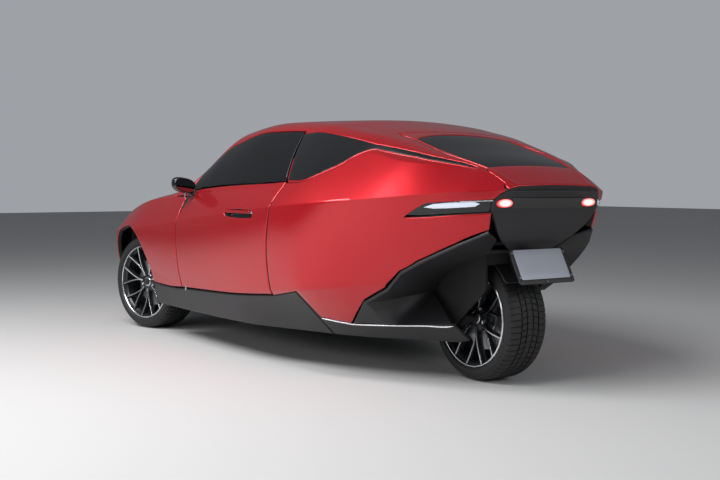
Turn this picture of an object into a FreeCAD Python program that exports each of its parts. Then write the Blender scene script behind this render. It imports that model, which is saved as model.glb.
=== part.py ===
"""Three wheeled coupe: two steered wheels in front, one driven wheel behind, two doors, bonnet and hatch.

Everything is modelled in millimetres with X forward, Y to the left and Z up. Inside this file x is measured
from the rear axle and z from the ground; save() moves each piece so that the origin lies on the ground under
the middle of the car's length. The body is one hollow lofted form, split along its shut lines.
"""
import FreeCAD
import Part
import math
import os

V = FreeCAD.Vector
os.makedirs("parts", exist_ok=True)

# ---------------------------------------------------------------- driving sizes
WHEELBASE = 2742.0        # rear axle to front axle
TAIL_X = -474.0           # tip of the tail lip
NOSE_X = 3546.0           # front of the nose
FRONT_TRACK = 1344.0      # between the two front tyre centres
TYRE_R = 315.0            # outside radius of every tyre
TYRE_W = 245.0
RIM_R = 246.0             # outside radius of the rim flange
RIM_W = 226.0
BEAD_R = RIM_R - 18.0     # where tyre and rim meet
DISC_R = 165.0
DISC_T = 26.0
STUB_R = 22.0             # front stub axle
AXLE_R = 16.0             # rear axle rod
RUN_CLEAR = 0.05          # running fit of shafts and pins
REST_STEER = 15.8         # how far the front wheels are turned left as parked, degrees
KINGPIN_IN = 72.0         # the steering axis stands this far inboard of the tyre's middle
KINGPIN_Y = FRONT_TRACK / 2.0 - KINGPIN_IN
ARCH_R = TYRE_R + 70.0    # front wheel arch
WALL = 100.0              # thickness of doors and lower body sides
ROOF_T = 42.0             # thickness of roof, pillars and hatch
HOOD_T = 30.0
FAIRING_T = 24.0
GLASS_T = 6.0
GAP = 6.0                 # shut line round a moving panel
SEAT_GAP = 0.4            # between fixed pieces that bear on each other
DOOR_GAP = 8.0            # the door's rear edge swings out past its own shut line
LID_GAP = 7.0             # round the hatch
LID_NOSE_R = 50.0         # rounded hinge edge of bonnet and hatch
LAMP_T = 28.0
HINGE_X = 1838.0          # door hinge axis
HINGE_Y = 838.0
HINGE_NOSE_R = 58.0       # the door's rounded front edge
HINGE_PIN_R = 7.0
PIN_IN = 40.0             # how far a hinge pin reaches into its bore
SHIFT_X = -(TAIL_X + NOSE_X) / 2.0
FAR = 2000.0

# ---------------------------------------------------------------- body sections
# One row per station. Columns: x, then (y, z) of six points from the lower edge to the roof's side:
# sill edge, lower crease, shoulder crease, belt line, cant rail, roof shoulder; last the middle's height.
SECTIONS = [
    (-474, (60, 620), (215, 775), (277, 957), (262, 966), (240, 970), (200, 974), 980),
    (-300, (110, 330), (385, 690), (490, 942), (314, 1046), (291, 1051), (255, 1057), 1068),
    (0, (225, 201), (530, 508), (722, 914), (552, 1112), (481, 1134), (322, 1148), 1160),
    (200, (345, 199), (655, 488), (800, 897), (592, 1144), (516, 1182), (354, 1206), 1222),
    (350, (450, 198), (743, 468), (834, 888), (702, 1062), (541, 1212), (402, 1240), 1262),
    (530, (548, 199), (800, 446), (862, 876), (782, 993), (562, 1239), (440, 1272), 1301),
    (700, (632, 204), (812, 432), (879, 862), (799, 976), (572, 1262), (465, 1303), 1331),
    (1200, (782, 206), (838, 400), (889, 818), (811, 950), (583, 1281), (470, 1327), 1345),
    (1600, (802, 206), (846, 390), (886, 782), (805, 932), (623, 1205), (520, 1281), 1307),
    (1900, (808, 206), (848, 385), (883, 752), (799, 917), (692, 1040), (622, 1076), 1136),
    (2060, (809, 206), (848, 388), (884, 734), (797, 908), (736, 948), (640, 968), 1008),
    (2200, (810, 206), (850, 400), (885, 718), (792, 900), (716, 930), (600, 952), 982),
    (2500, (815, 208), (856, 440), (888, 694), (790, 874), (700, 894), (560, 908), 926),
    (2900, (790, 210), (835, 430), (866, 668), (764, 802), (664, 832), (520, 848), 864),
    (3250, (690, 214), (735, 410), (757, 628), (654, 708), (560, 738), (430, 755), 768),
    (3450, (560, 220), (610, 400), (627, 588), (534, 640), (450, 662), (340, 675), 685),
    (3546, (430, 226), (480, 400), (502, 553), (432, 592), (360, 606), (270, 615), 622),
]


STATION_STEP = 130.0      # stations are filled in between the measured ones to about this spacing


def slopes(xs, values):
    """Slopes at the stations that keep a curve through them from overshooting."""
    step = [b - a for a, b in zip(xs, xs[1:])]
    rise = [(b - a) / h for a, b, h in zip(values, values[1:], step)]
    out = [rise[0]]
    for k in range(1, len(rise)):
        if rise[k - 1] * rise[k] <= 0:
            out.append(0.0)
            continue
        wide = 2 * step[k] + step[k - 1]
        near = step[k] + 2 * step[k - 1]
        out.append((wide + near) * rise[k - 1] * rise[k] / (wide * rise[k] + near * rise[k - 1]))
    return out + [rise[-1]]


def fair(rows):
    """The same rows with more stations between them, on smooth lines through the measured ones."""
    xs = [row[0] for row in rows]
    flat = [[c for item in row[1:7] for c in item] + [row[7]] for row in rows]
    tangents = [slopes(xs, column) for column in zip(*flat)]
    out = []
    for k in range(len(xs) - 1):
        h = xs[k + 1] - xs[k]
        parts = max(1, round(h / STATION_STEP))
        for i in range(parts):
            u = i / parts
            line = []
            for a, b, t in zip(flat[k], flat[k + 1], tangents):
                rise = (u ** 3 - 2 * u * u + u) * h * t[k] + (u ** 3 - u * u) * h * t[k + 1]
                line.append((2 * u ** 3 - 3 * u * u + 1) * a + (3 * u * u - 2 * u ** 3) * b + rise)
            out.append((xs[k] + u * h, *zip(line[0:12:2], line[1:12:2]), line[12]))
    return out + [rows[-1]]


def body(side=0.0, cant=0.0, top=0.0, floor=0.0, reach=0.0):
    """The lofted body form, drawn in by side at the flanks, cant at the cant rail and top at the roof.

    Its lower edge is raised by floor, or carried on down the flank by reach.
    """
    wires = []
    for x, sill, crease, shoulder, belt, rail, roof, crown in fair(SECTIONS):
        roof_y = max(roof[0] - 0.5 * cant, 30)
        rail_y = max(rail[0] - cant, roof_y + 3)
        belt_y = max(belt[0] - side, rail_y + 3)
        shoulder_y = max(shoulder[0] - side, belt_y + 3)
        roof_z = min(roof[1] - top, crown - top - 1)
        rail_z = min(rail[1] - 0.8 * top, roof_z - 1)
        belt_z = min(belt[1] - 0.4 * top, rail_z - 1)
        shoulder_z = min(shoulder[1] - 0.2 * top, belt_z - 3)
        slant = math.hypot(sill[0] - crease[0], sill[1] - crease[1])
        low_y = sill[0] + (sill[0] - crease[0]) / slant * reach - side
        low_z = sill[1] + (sill[1] - crease[1]) / slant * reach + floor
        left = [
            (max(low_y, 20), low_z),
            (max(crease[0] - side, 40), crease[1]),
            (shoulder_y, shoulder_z),
            (belt_y, belt_z),
            (rail_y, rail_z),
            (roof_y, roof_z),
        ]
        right = [(-y, z) for y, z in reversed(left)]
        ring = left + [(0, crown - top)] + right
        wires.append(Part.makePolygon([V(x, y, z) for y, z in ring + ring[:1]]))
    return Part.makeLoft(wires, True, True)


def box(x0, x1, y0, y1, z0, z1):
    return Part.makeBox(x1 - x0, y1 - y0, z1 - z0, V(x0, y0, z0))


def side_prism(points, y0, y1):
    """A side-view outline of (x, z) points, drawn out from y0 to y1."""
    ring = [V(x, y0, z) for x, z in points]
    return Part.Face(Part.makePolygon(ring + ring[:1])).extrude(V(0, y1 - y0, 0))


def top_prism(points, z0, z1):
    """A plan outline of (x, y) points, drawn out from z0 to z1."""
    ring = [V(x, y, z0) for x, y in points]
    return Part.Face(Part.makePolygon(ring + ring[:1])).extrude(V(0, 0, z1 - z0))


def rod_y(radius, x, z, y0, y1):
    return Part.makeCylinder(radius, y1 - y0, V(x, y0, z), V(0, 1, 0))


def rod_z(radius, x, y, z0, z1):
    return Part.makeCylinder(radius, z1 - z0, V(x, y, z0), V(0, 0, 1))


def fuse(shapes):
    whole = shapes[0]
    if len(shapes) > 1:
        whole = whole.multiFuse(shapes[1:])
    return whole.removeSplitter()


def mirrored(shape):
    return shape.mirror(V(0, 0, 0), V(0, 1, 0))


def save(name, *shapes):
    """Writes one node. Several shapes in it are like pieces that don't touch."""
    solids = [s for shape in shapes for s in shape.Solids]
    kept = [s for s in solids if s.Volume > 400.0]
    whole = kept[0] if len(kept) == 1 else Part.makeCompound(kept)
    whole = whole.copy()
    whole.translate(V(SHIFT_X, 0, 0))
    whole.exportStep(f"parts/{name}.step")


def save_pair(name, shape):
    save(f"{name}_left", shape)
    save(f"{name}_right", mirrored(shape))


# ---------------------------------------------------------------- body forms
TAIL_WALL = 85.0
NOSE_WALL = 110.0
# (x, z) of the raked tail face, from the lip down
TAIL_FACE = [(-474, 950), (-446, 935), (-424, 905), (-412, 850), (-397, 800), (-350, 725), (-290, 640)]
tail_cut_outline = [(-600, 950)] + TAIL_FACE + [(-250, 560), (-250, 0), (-600, 0)]
tail_cut = side_prism(tail_cut_outline, -FAR, FAR)


def set_in(shape, by):
    """The same tail cut moved forward by a wall thickness."""
    moved = shape.copy()
    moved.translate(V(by, 0, 0))
    return moved


outer = body().cut(tail_cut)
cabin = body(side=WALL, cant=ROOF_T, top=ROOF_T, floor=60.0)
hollow = cabin.cut(set_in(tail_cut, TAIL_WALL)).cut(box(NOSE_X - NOSE_WALL, NOSE_X + 10, -FAR, FAR, 0, FAR))
hollow = hollow.cut(box(TAIL_X - 10, TAIL_X + TAIL_WALL, -FAR, FAR, 0, FAR))
shell = outer.cut(hollow)
glass_core = body(side=GLASS_T, cant=GLASS_T, top=GLASS_T, reach=60.0)
lamp_core = body(side=LAMP_T, cant=LAMP_T, top=LAMP_T, reach=60.0).cut(set_in(tail_cut, LAMP_T))
trim_core = body(side=FAIRING_T, cant=FAIRING_T, top=FAIRING_T, reach=60.0)
hood_core = body(side=HOOD_T, cant=HOOD_T, top=HOOD_T, reach=60.0)
lid_core = body(side=WALL, cant=ROOF_T, top=ROOF_T, reach=60.0)
left_half = box(TAIL_X - 10, NOSE_X + 10, 0.0, FAR, 0, FAR)


def skin(zone, core):
    """The body's skin inside a zone, down to a core form."""
    return outer.common(zone).cut(core)


def well(x, z, radius, y0, y1):
    """A wheel's free space: round above the hub, straight down below it."""
    return fuse([rod_y(radius, x, z, y0, y1), box(x - radius, x + radius, y0, y1, 0, z)])


WELL_Y = KINGPIN_Y - 250.0
wells = [well(WHEELBASE, TYRE_R, ARCH_R, WELL_Y, FAR)]
wells.append(mirrored(wells[0]))
TUNNEL_R = TYRE_R + 27.0
TUNNEL_W = 173.0
tunnel = rod_y(TUNNEL_R, 0, TYRE_R, -TUNNEL_W, TUNNEL_W)

# ---------------------------------------------------------------- shut lines
# (x, z) of the door's lower and rear edges, from the front
DOOR_EDGE = [(HINGE_X, 352), (800, 402), (738, 690), (690, 864), (668, 994)]
DOOR_TOP_FRONT = (HINGE_X, 934)
door_outline = DOOR_EDGE + [DOOR_TOP_FRONT]
door_opening_outline = [(x - DOOR_GAP, z - GAP) for x, z in DOOR_EDGE]
door_opening_outline[0] = (HINGE_X, 352 - GAP)
door_opening_outline += [(668 - DOOR_GAP, 1000), (HINGE_X, 1000)]
door_nose = rod_z(HINGE_NOSE_R, HINGE_X, HINGE_Y, 352, 934)
door_zone = fuse([side_prism(door_outline, 300, FAR), door_nose])
door_opening = side_prism(door_opening_outline, 300, FAR)
door_opening = fuse([door_opening, rod_z(HINGE_NOSE_R + GAP, HINGE_X, HINGE_Y, 352 - GAP, 960)])

# (x, z) of the side windows' top edge under the cant rail, from the front
CANT_EDGE = [(1868, 1075), (1665, 1180), (1440, 1240), (1229, 1266), (903, 1262), (822, 1256)]
door_glass_outline = [(668, 994), (HINGE_X, 934), (1862, 934)] + CANT_EDGE
door_glass_opening_outline = [(650, 970), (1876, 925)] + [(x + 2, z + GAP) for x, z in CANT_EDGE[:-1]]
door_glass_opening_outline += [(815, 1262)]
# the quarter window behind the door glass
quarter_glass_outline = [(808, 1248), (652, 1000), (545, 1003), (412, 1047), (262, 1113), (172, 1154)]
quarter_glass_outline += [(-8, 1121), (-186, 1076), (-262, 1058), (-250, 1066), (-147, 1092), (63, 1150)]
quarter_glass_outline += [(204, 1177), (509, 1231), (700, 1252)]

# bonnet: (x, y) of its side shut line
HOOD_X = 2120.0
HOOD_Z = 955.0
HOOD_EDGE = [(HOOD_X, 640), (2500, 610), (2900, 560), (3250, 440), (3330, 360)]
# hatch: (x, y) of its side shut line, then (x, z) of its underside
HATCH_X = 262.0
HATCH_Z = 1200.0
HATCH_EDGE = [(HATCH_X, 338), (-306, 268), (-480, 282)]
HATCH_UNDER = [(-480, 925), (-300, 985), (0, 1090), (HATCH_X, 1160), (330, 1160)]


def plan_of(edge, by):
    """A closed plan outline from one side's edge, grown sideways by a shut line."""
    left = [(x, y + by) for x, y in edge]
    return left + [(x, -y) for x, y in reversed(left)]


def hood_space(by):
    outline = plan_of(HOOD_EDGE, by)
    outline = [(x + (by if x > 3200 else 0.0), y) for x, y in outline]
    width = HOOD_EDGE[0][1] + by
    return fuse([top_prism(outline, 560 - by, FAR), rod_y(LID_NOSE_R + by, HOOD_X, HOOD_Z, -width, width)])


def hatch_space(by):
    width = HATCH_EDGE[0][1] + by
    under = [(x, z - by) for x, z in HATCH_UNDER] + [(330, FAR), (-480, FAR)]
    plan = top_prism(plan_of(HATCH_EDGE, by), 600, FAR)
    whole = fuse([plan, rod_y(LID_NOSE_R + by, HATCH_X, HATCH_Z, -width, width)])
    return whole.common(side_prism(under, -FAR, FAR))


hood_zone = hood_space(0.0)
hatch_zone = hatch_space(0.0)

# windscreen: (x, y) of its left edge from the middle of its foot to the middle of the header
SCREEN_EDGE = [(2062, 0), (2052, 250), (2020, 450), (1968, 592), (1600, 500), (1545, 300), (1530, 0)]
screen_outline = SCREEN_EDGE + [(x, -y) for x, y in reversed(SCREEN_EDGE[1:-1])]
screen_zone = top_prism(screen_outline, 900, FAR)

# tail lamp: (x, z) of the recess from its forward tip round to the tail
LAMP_EDGE = [(-123, 826), (-217, 893), (-470, 914), (-470, 852), (-430, 850)]
lamp_zone = side_prism(LAMP_EDGE, 205, FAR)
# head lamp: (x, z)
HEAD_EDGE = [(3150, 690), (3180, 735), (3420, 668), (3470, 628), (3440, 610), (3300, 640)]
head_zone = side_prism(HEAD_EDGE, 400, FAR)

openings = [door_opening, mirrored(door_opening), hood_space(GAP), hatch_space(LID_GAP), screen_zone, tunnel]
glass_side = side_prism(door_glass_opening_outline, 300, FAR)
quarter_side = side_prism(quarter_glass_outline, 300, FAR)
lamp_left = skin(lamp_zone, lamp_core)
head_left = skin(head_zone, lamp_core)
for piece in (glass_side, quarter_side, lamp_left, head_left):
    openings += [piece, mirrored(piece)]
frame = shell
for piece in openings + wells:
    frame = frame.cut(piece)

# ---------------------------------------------------------------- fixed body panels
# (x, z) of the quarter panel's top edge from the door back, and of its lower edge
QUARTER_TOP = [(540, 991), (408, 1035), (257, 1102), (172, 1144), (-8, 1114), (-186, 1068), (-300, 1049)]
QUARTER_LOW = [(794, 396), (553, 438), (547, 298), (400, 275), (233, 411), (87, 484), (-17, 571)]
QUARTER_LOW += [(-111, 624), (-270, 707), (-412, 780)]
quarter_outline = [(794, 396), (900, 700), (661, 986)] + QUARTER_TOP + [(-480, 1000), (-480, 790)]
quarter_outline += list(reversed(QUARTER_LOW[1:]))
quarter_zone = side_prism(quarter_outline, 0, FAR)
FASCIA_X = -385.0
fascia_zone = box(-480, FASCIA_X, -315, 315, 600, FAR)
quarter = frame.common(quarter_zone).cut(fascia_zone)
fascia = frame.common(fascia_zone)

roof_outline = [(661, 986)] + QUARTER_TOP + [(-480, 1000), (-480, 1500), (2080, 1500), (2080, 905)]
roof_outline += [(1840, 905), (1840, 960)]
roof = frame.common(side_prism(roof_outline, -FAR, FAR)).cut(fascia_zone)

SKIRT_REAR = 560.0
SKIRT_TOP = [(2338, 346), (HINGE_X - 44, 346), (794, 396), (553, 438)]
skirt_outline = SKIRT_TOP[:-1] + [(SKIRT_REAR, 437), (SKIRT_REAR, 150), (2338, 150)]
skirt = skin(side_prism(skirt_outline, 0, FAR), trim_core).cut(door_opening).cut(wells[0])
skirt = skirt.cut(quarter_zone).cut(rod_z(HINGE_PIN_R, HINGE_X, HINGE_Y, 300, 360))

# the fairing: a flank on the body form below a fold, a side face leaning in from the fold, and a shelf that
# tucks in under the quarter panel to the wheel well
FOLD = [(-68, 293), (60, 285), (200, 276), (400, 270)]
SHELF_OUT = [(233, 409), (87, 480), (-17, 567), (-111, 620), (-190, 662), (-268, 704), (-385, 768)]
SHELF_IN = [(193, 200, 447), (160, 200, 498), (56, 200, 570), (-48, 200, 609), (-151, 200, 640)]
SHELF_IN += [(-248, 205, 675), (-330, 235, 735)]
PANEL_T = 14.0


def flank_y(x, z):
    """How far out the body's flank stands at x and z."""
    rows = fair(SECTIONS)
    k = max(i for i in range(len(rows) - 1) if rows[i][0] <= x)
    u = (x - rows[k][0]) / (rows[k + 1][0] - rows[k][0])
    pairs = zip(rows[k][1:4], rows[k + 1][1:4])
    line = [(p[0] + (q[0] - p[0]) * u, p[1] + (q[1] - p[1]) * u) for p, q in pairs]
    low, high = line[:2] if z < line[1][1] else line[1:]
    return low[0] + (high[0] - low[0]) * (z - low[1]) / (high[1] - low[1])


def sheet(a, b, c):
    """A triangular sheet, thickened downwards."""
    return Part.Face(Part.makePolygon([a, b, c, a])).extrude(V(0, 0, -PANEL_T))


fold = [V(x, flank_y(x, z), z) for x, z in FOLD]
shelf_out = [V(x, flank_y(x, z), z) for x, z in SHELF_OUT]
shelf_in = [V(*point) for point in SHELF_IN]
sheets = [sheet(shelf_in[0], a, b) for a, b in zip(fold, fold[1:])]
sheets.append(sheet(shelf_in[0], fold[-1], shelf_out[0]))
for k in range(len(shelf_out) - 1):
    sheets.append(sheet(shelf_out[k], shelf_out[k + 1], shelf_in[k]))
    sheets.append(sheet(shelf_out[k + 1], shelf_in[k + 1], shelf_in[k]))
flank_outline = [(-85, 150)] + FOLD + [(547, 297), (553, 436), (SKIRT_REAR, 436), (SKIRT_REAR, 150)]
fairing = fuse([skin(side_prism(flank_outline, 0, FAR), trim_core)] + sheets)
bearing = quarter.copy()
bearing.translate(V(0, 0, -SEAT_GAP))
fairing = fairing.common(outer).cut(bearing).cut(quarter).cut(tunnel)

FENDER_FRONT = 3200.0
fender_outline = [(1840, 346), (1840, 905), (2080, 905), (2080, 1200)]
fender_outline += [(FENDER_FRONT, 1200), (FENDER_FRONT, 346)]
fender = frame.common(side_prism(fender_outline, 0, FAR)).cut(screen_zone)
fender = fender.cut(box(2060, HOOD_X + 20, -10, HOOD_EDGE[0][1] - 4, 930, 1200))
nose = frame.common(box(FENDER_FRONT, NOSE_X + 10, -FAR, FAR, 0, FAR))
TOW_R = 8.0               # screwed socket for the towing eye
TOW_Y = -260.0
TOW_Z = 470.0
TOW_DEEP = 60.0
nose = nose.cut(Part.makeCylinder(TOW_R, TOW_DEEP + 10, V(NOSE_X - TOW_DEEP, TOW_Y, TOW_Z), V(1, 0, 0)))

TUB_REAR = 400.0
tub_outline = [(TUB_REAR, 150), (TUB_REAR, 420), (560, 437)] + list(reversed(SKIRT_TOP[:-1]))
tub_outline += [(FENDER_FRONT, 346), (FENDER_FRONT, 150)]
tub = frame.common(side_prism(tub_outline, -FAR, FAR)).cut(skirt).cut(mirrored(skirt))
tub = tub.cut(fairing).cut(mirrored(fairing)).cut(quarter).cut(mirrored(quarter))
pin_seat = rod_z(HINGE_PIN_R, HINGE_X, HINGE_Y, 300, 360)
tub = tub.cut(pin_seat).cut(mirrored(pin_seat))
rear_bulkhead = hollow.common(box(TUB_REAR, TUB_REAR + 30, -FAR, FAR, 150, 425)).cut(tunnel)
COWL_X = 2000.0
cowl = hollow.common(box(COWL_X, COWL_X + 24, -FAR, FAR, 150, 1200)).cut(hood_space(GAP)).cut(door_opening)
cowl = cowl.cut(mirrored(door_opening)).cut(screen_zone)

BOOT_Z = 690.0
boot_floor = hollow.common(box(-380, TUB_REAR, -FAR, FAR, BOOT_Z, BOOT_Z + 14))
boot_floor = boot_floor.cut(fairing).cut(mirrored(fairing))
wheelhouse = box(-200, TUB_REAR, -TUNNEL_W - 12, TUNNEL_W + 12, 215, BOOT_Z).cut(tunnel)
wheelhouse = wheelhouse.cut(box(-210, TUB_REAR + 1, -TUNNEL_W, TUNNEL_W, 0, TYRE_R + 60))
wheelhouse = wheelhouse.cut(side_prism([(-300, 100), (-300, 560), (250, 100)], -FAR, FAR))

save_pair("quarter", quarter)
save("tail_fascia", fascia)
save("roof", roof)
save("skirts", skirt, mirrored(skirt))
save("rear_fairings", fairing, mirrored(fairing))
save_pair("fender", fender)
save("nose_bumper", nose)
save("floor_tub", fuse([tub, rear_bulkhead]))
save("cowl", cowl)
save("boot_floor", boot_floor)
save("rear_wheelhouse", wheelhouse)
save("windscreen", skin(screen_zone, glass_core).cut(hood_space(GAP)))
quarter_window = skin(quarter_side, glass_core)
save("quarter_windows", quarter_window, mirrored(quarter_window))
save("tail_lamps", lamp_left, mirrored(lamp_left))
save("head_lamps", head_left, mirrored(head_left))

liner = rod_y(ARCH_R + 6, WHEELBASE, TYRE_R, WELL_Y - 6, FAR)
liner = liner.common(hollow).common(box(0, NOSE_X, 0, FAR, 215, FAR)).cut(wells[0])
liner = liner.cut(box(WHEELBASE - 100, WHEELBASE + 100, WELL_Y - 10, WELL_Y + 2, 150, 545))
save("arch_liners", liner, mirrored(liner))

# ---------------------------------------------------------------- doors, bonnet and hatch
HANDLE_X = (857.0, 1206.0)
pocket = box(HANDLE_X[0], HANDLE_X[1], 855, FAR, 798, 846)
door = shell.common(door_zone).common(left_half).cut(pocket)
door = door.cut(rod_z(HINGE_PIN_R + RUN_CLEAR, HINGE_X, HINGE_Y, 352, 352 + PIN_IN))
door = door.cut(rod_z(HINGE_PIN_R + RUN_CLEAR, HINGE_X, HINGE_Y, 934 - PIN_IN, 934))
save_pair("door_panel", door)
door_glass = skin(side_prism(door_glass_outline, 300, FAR), glass_core)
save_pair("door_glass", door_glass)
handle = outer.common(box(HANDLE_X[0], HANDLE_X[1], 868, FAR, 824, 840))
save_pair("door_handle", handle)
mirror_arm = box(1768, 1800, 800, 880, 880, 950)
mirror_case = Part.makeSphere(1.0, V(0, 0, 0))
stretch = FreeCAD.Matrix()
stretch.scale(V(48, 78, 52))
mirror_case = mirror_case.transformGeometry(stretch)
mirror_case.translate(V(1782, 872, 972))
mirror_arm = fuse([mirror_arm, mirror_case.common(box(1752, 1900, 700, 1000, 900, 1100))])
mirror_arm = mirror_arm.cut(door).cut(door_glass)
save_pair("door_mirror", mirror_arm)
# the door's hinge pins stand in the sill below and the front pillar above
pin_low = rod_z(HINGE_PIN_R, HINGE_X, HINGE_Y, 352 - GAP - 12, 352 + PIN_IN - 2)
pin_high = rod_z(HINGE_PIN_R, HINGE_X, HINGE_Y, 934 - PIN_IN + 2, 975)
save("door_hinge_pins", pin_low, pin_high, mirrored(pin_low), mirrored(pin_high))

hood = skin(hood_zone, hood_core).cut(screen_zone)
save("hood_panel", hood)
lid = skin(hatch_zone, lid_core)
GLASS_REAR = -300.0
rear_window_zone = top_prism([(x, y) for x, y in plan_of([(240, 333), (GLASS_REAR, 266)], 0.0)], 900, FAR)
rear_glass = skin(hatch_zone, glass_core).common(rear_window_zone)
rear_view = top_prism(plan_of([(190, 285), (GLASS_REAR + 40, 222)], 0.0), 900, FAR)
save("hatch_panel", lid.cut(rear_glass).cut(rear_view))
save("hatch_glass", rear_glass)

# ---------------------------------------------------------------- wheels
SPOKES = 7
SPOKE_SPREAD = 13.5       # half the angle between a spoke's two arms at the rim, degrees
SPOKE_START = 7.4         # angle of the first spoke as parked
HUB_R = 72.0


def revolve_y(profile, y0=0.0):
    """A closed (radius, y) profile turned about the Y axis."""
    ring = [V(r, y0 + y, 0) for r, y in profile]
    face = Part.Face(Part.makePolygon(ring + ring[:1]))
    return face.revolve(V(0, 0, 0), V(0, 1, 0), 360)


HALF_RIM = RIM_W / 2.0
rim_profile = [(BEAD_R - 13, -HALF_RIM), (RIM_R, -HALF_RIM), (RIM_R, -HALF_RIM + 9), (BEAD_R, -HALF_RIM + 14)]
rim_profile += [(BEAD_R, HALF_RIM - 14), (RIM_R, HALF_RIM - 9), (RIM_R, HALF_RIM), (BEAD_R - 10, HALF_RIM)]
rim_profile += [(BEAD_R - 14, HALF_RIM - 26), (BEAD_R - 14, -HALF_RIM + 10)]
HALF_TYRE = TYRE_W / 2.0
tyre_half = [(TYRE_R, 40), (TYRE_R - 1, HALF_TYRE - 40.5), (TYRE_R - 9, HALF_TYRE - 19.5)]
tyre_half += [(TYRE_R - 25, HALF_TYRE - 2), ((TYRE_R + RIM_R) / 2, HALF_TYRE), (RIM_R + 22, HALF_TYRE)]
tyre_half += [(RIM_R + 0.5, HALF_RIM - 9.5), (BEAD_R, HALF_RIM - 14)]
tyre_profile = [(r, -y) for r, y in reversed(tyre_half)] + tyre_half
disc_profile = [(STUB_R + RUN_CLEAR, -6), (DISC_R, -6), (DISC_R, 20), (STUB_R + RUN_CLEAR, 20)]
hub_profile = [(STUB_R + RUN_CLEAR, 20), (HUB_R, 20), (HUB_R, 70), (HUB_R - 14, 84), (STUB_R + RUN_CLEAR, 84)]


def spoke_arm(angle, spread):
    """One arm: from the hub at the spoke's middle line out to the barrel, leaning by spread degrees."""
    a = math.radians(angle)
    b = math.radians(angle + spread)
    near = a + math.radians(spread) * 0.6
    start = V((HUB_R - 16) * math.cos(near), 0, (HUB_R - 16) * math.sin(near))
    end = V((BEAD_R - 8) * math.cos(b), 0, (BEAD_R - 8) * math.sin(b))
    along = end - start
    across = V(-along.z, 0, along.x)
    across.normalize()
    inner = [start + across * 15 + V(0, 48, 0), start - across * 15 + V(0, 48, 0)]
    inner += [start - across * 15 + V(0, 78, 0), start + across * 15 + V(0, 78, 0)]
    outer_end = [end + across * 10 + V(0, 70, 0), end - across * 10 + V(0, 70, 0)]
    outer_end += [end - across * 10 + V(0, 106, 0), end + across * 10 + V(0, 106, 0)]
    ends = [Part.makePolygon(ring + ring[:1]) for ring in (inner, outer_end)]
    return Part.makeLoft(ends, True, True)


BOLT_CIRCLE_R = 57.15     # five holes on 114.3 mm
BOLT_R = 7.5
rim_pieces = [revolve_y(rim_profile), revolve_y(hub_profile)]
for k in range(SPOKES):
    middle = 360.0 / SPOKES * k + SPOKE_START
    rim_pieces += [spoke_arm(middle, SPOKE_SPREAD), spoke_arm(middle, -SPOKE_SPREAD)]
wheel_rim = fuse(rim_pieces)
tyre = revolve_y(tyre_profile)
disc = revolve_y(disc_profile)


def placed(shape, x, y, z, mirror=False, spin=0.0, steer=0.0):
    """A wheel piece turned about its axle, set at its hub and steered about its kingpin."""
    piece = shape.copy()
    if spin:
        piece.rotate(V(0, 0, 0), V(0, 1, 0), spin)
    if mirror:
        piece = mirrored(piece)
    piece.translate(V(x, y, z))
    if steer:
        pin_y = KINGPIN_Y if y > 0 else -KINGPIN_Y
        piece.rotate(V(x, pin_y, 0), V(0, 0, 1), steer)
    return piece


HUB_Y = FRONT_TRACK / 2.0
# name, hub x, hub y, mirrored, spin, steer
WHEELS = [
    ("front_left", WHEELBASE, HUB_Y, False, 0.0, REST_STEER),
    ("front_right", WHEELBASE, -HUB_Y, True, 20.0, REST_STEER),
    ("rear", 0.0, 0.0, False, 0.0, 0.0),
]
for name, x, y, flip, spin, steer in WHEELS:
    save(f"tyre_{name}", placed(tyre, x, y, TYRE_R, flip, spin, steer))
    save(f"wheel_{name}", placed(wheel_rim, x, y, TYRE_R, flip, spin, steer))
    save(f"brake_disc_{name}", placed(disc, x, y, TYRE_R, flip, spin, steer))

# ---------------------------------------------------------------- front suspension
PIN_R = 10.0
PIN_LOW = TYRE_R - 130.0
PIN_HIGH = TYRE_R + 130.0
ARM_T = 26.0
ARM_GAP = 0.6             # between an arm's boss and the knuckle, and PIN_PLAY round its ball pin
pin_offset = -KINGPIN_IN
knuckle = box(-34, 34, pin_offset - 26, pin_offset + 26, -130, 130)
knuckle = knuckle.cut(rod_z(PIN_R + RUN_CLEAR, 0, pin_offset, -131, -86))
knuckle = knuckle.cut(rod_z(PIN_R + RUN_CLEAR, 0, pin_offset, 86, 131))
caliper = box(-DISC_R - 13, -DISC_R + 69, -40, 38, -62, 62).cut(rod_y(DISC_R + 6, 0, 0, -12, 26))
caliper = caliper.common(rod_y(DISC_R + 31, 0, 0, -60, 60))
bracket = box(-DISC_R + 35, -20, pin_offset - 10, -34, -40, 40)
stub = rod_y(STUB_R, 0, 0, pin_offset, 92)
knuckle_whole = fuse([knuckle, bracket, stub]).cut(caliper)
for name, y, flip in (("front_left", HUB_Y, False), ("front_right", -HUB_Y, True)):
    save(f"knuckle_{name}", placed(knuckle_whole, WHEELBASE, y, TYRE_R, flip, 0, REST_STEER))
    save(f"caliper_{name}", placed(caliper, WHEELBASE, y, TYRE_R, flip, 0, REST_STEER))

SUBFRAME_Y = WELL_Y - 20.0
subframe = box(WHEELBASE - 260, WHEELBASE + 300, -SUBFRAME_Y, SUBFRAME_Y, 250, 330)
for x in (WHEELBASE - 90, WHEELBASE + 30):
    tower = box(x, x + 60, SUBFRAME_Y - 80, SUBFRAME_Y, 250, 520)
    subframe = fuse([subframe, tower, mirrored(tower)])
save("front_subframe", subframe.common(hollow))


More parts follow.
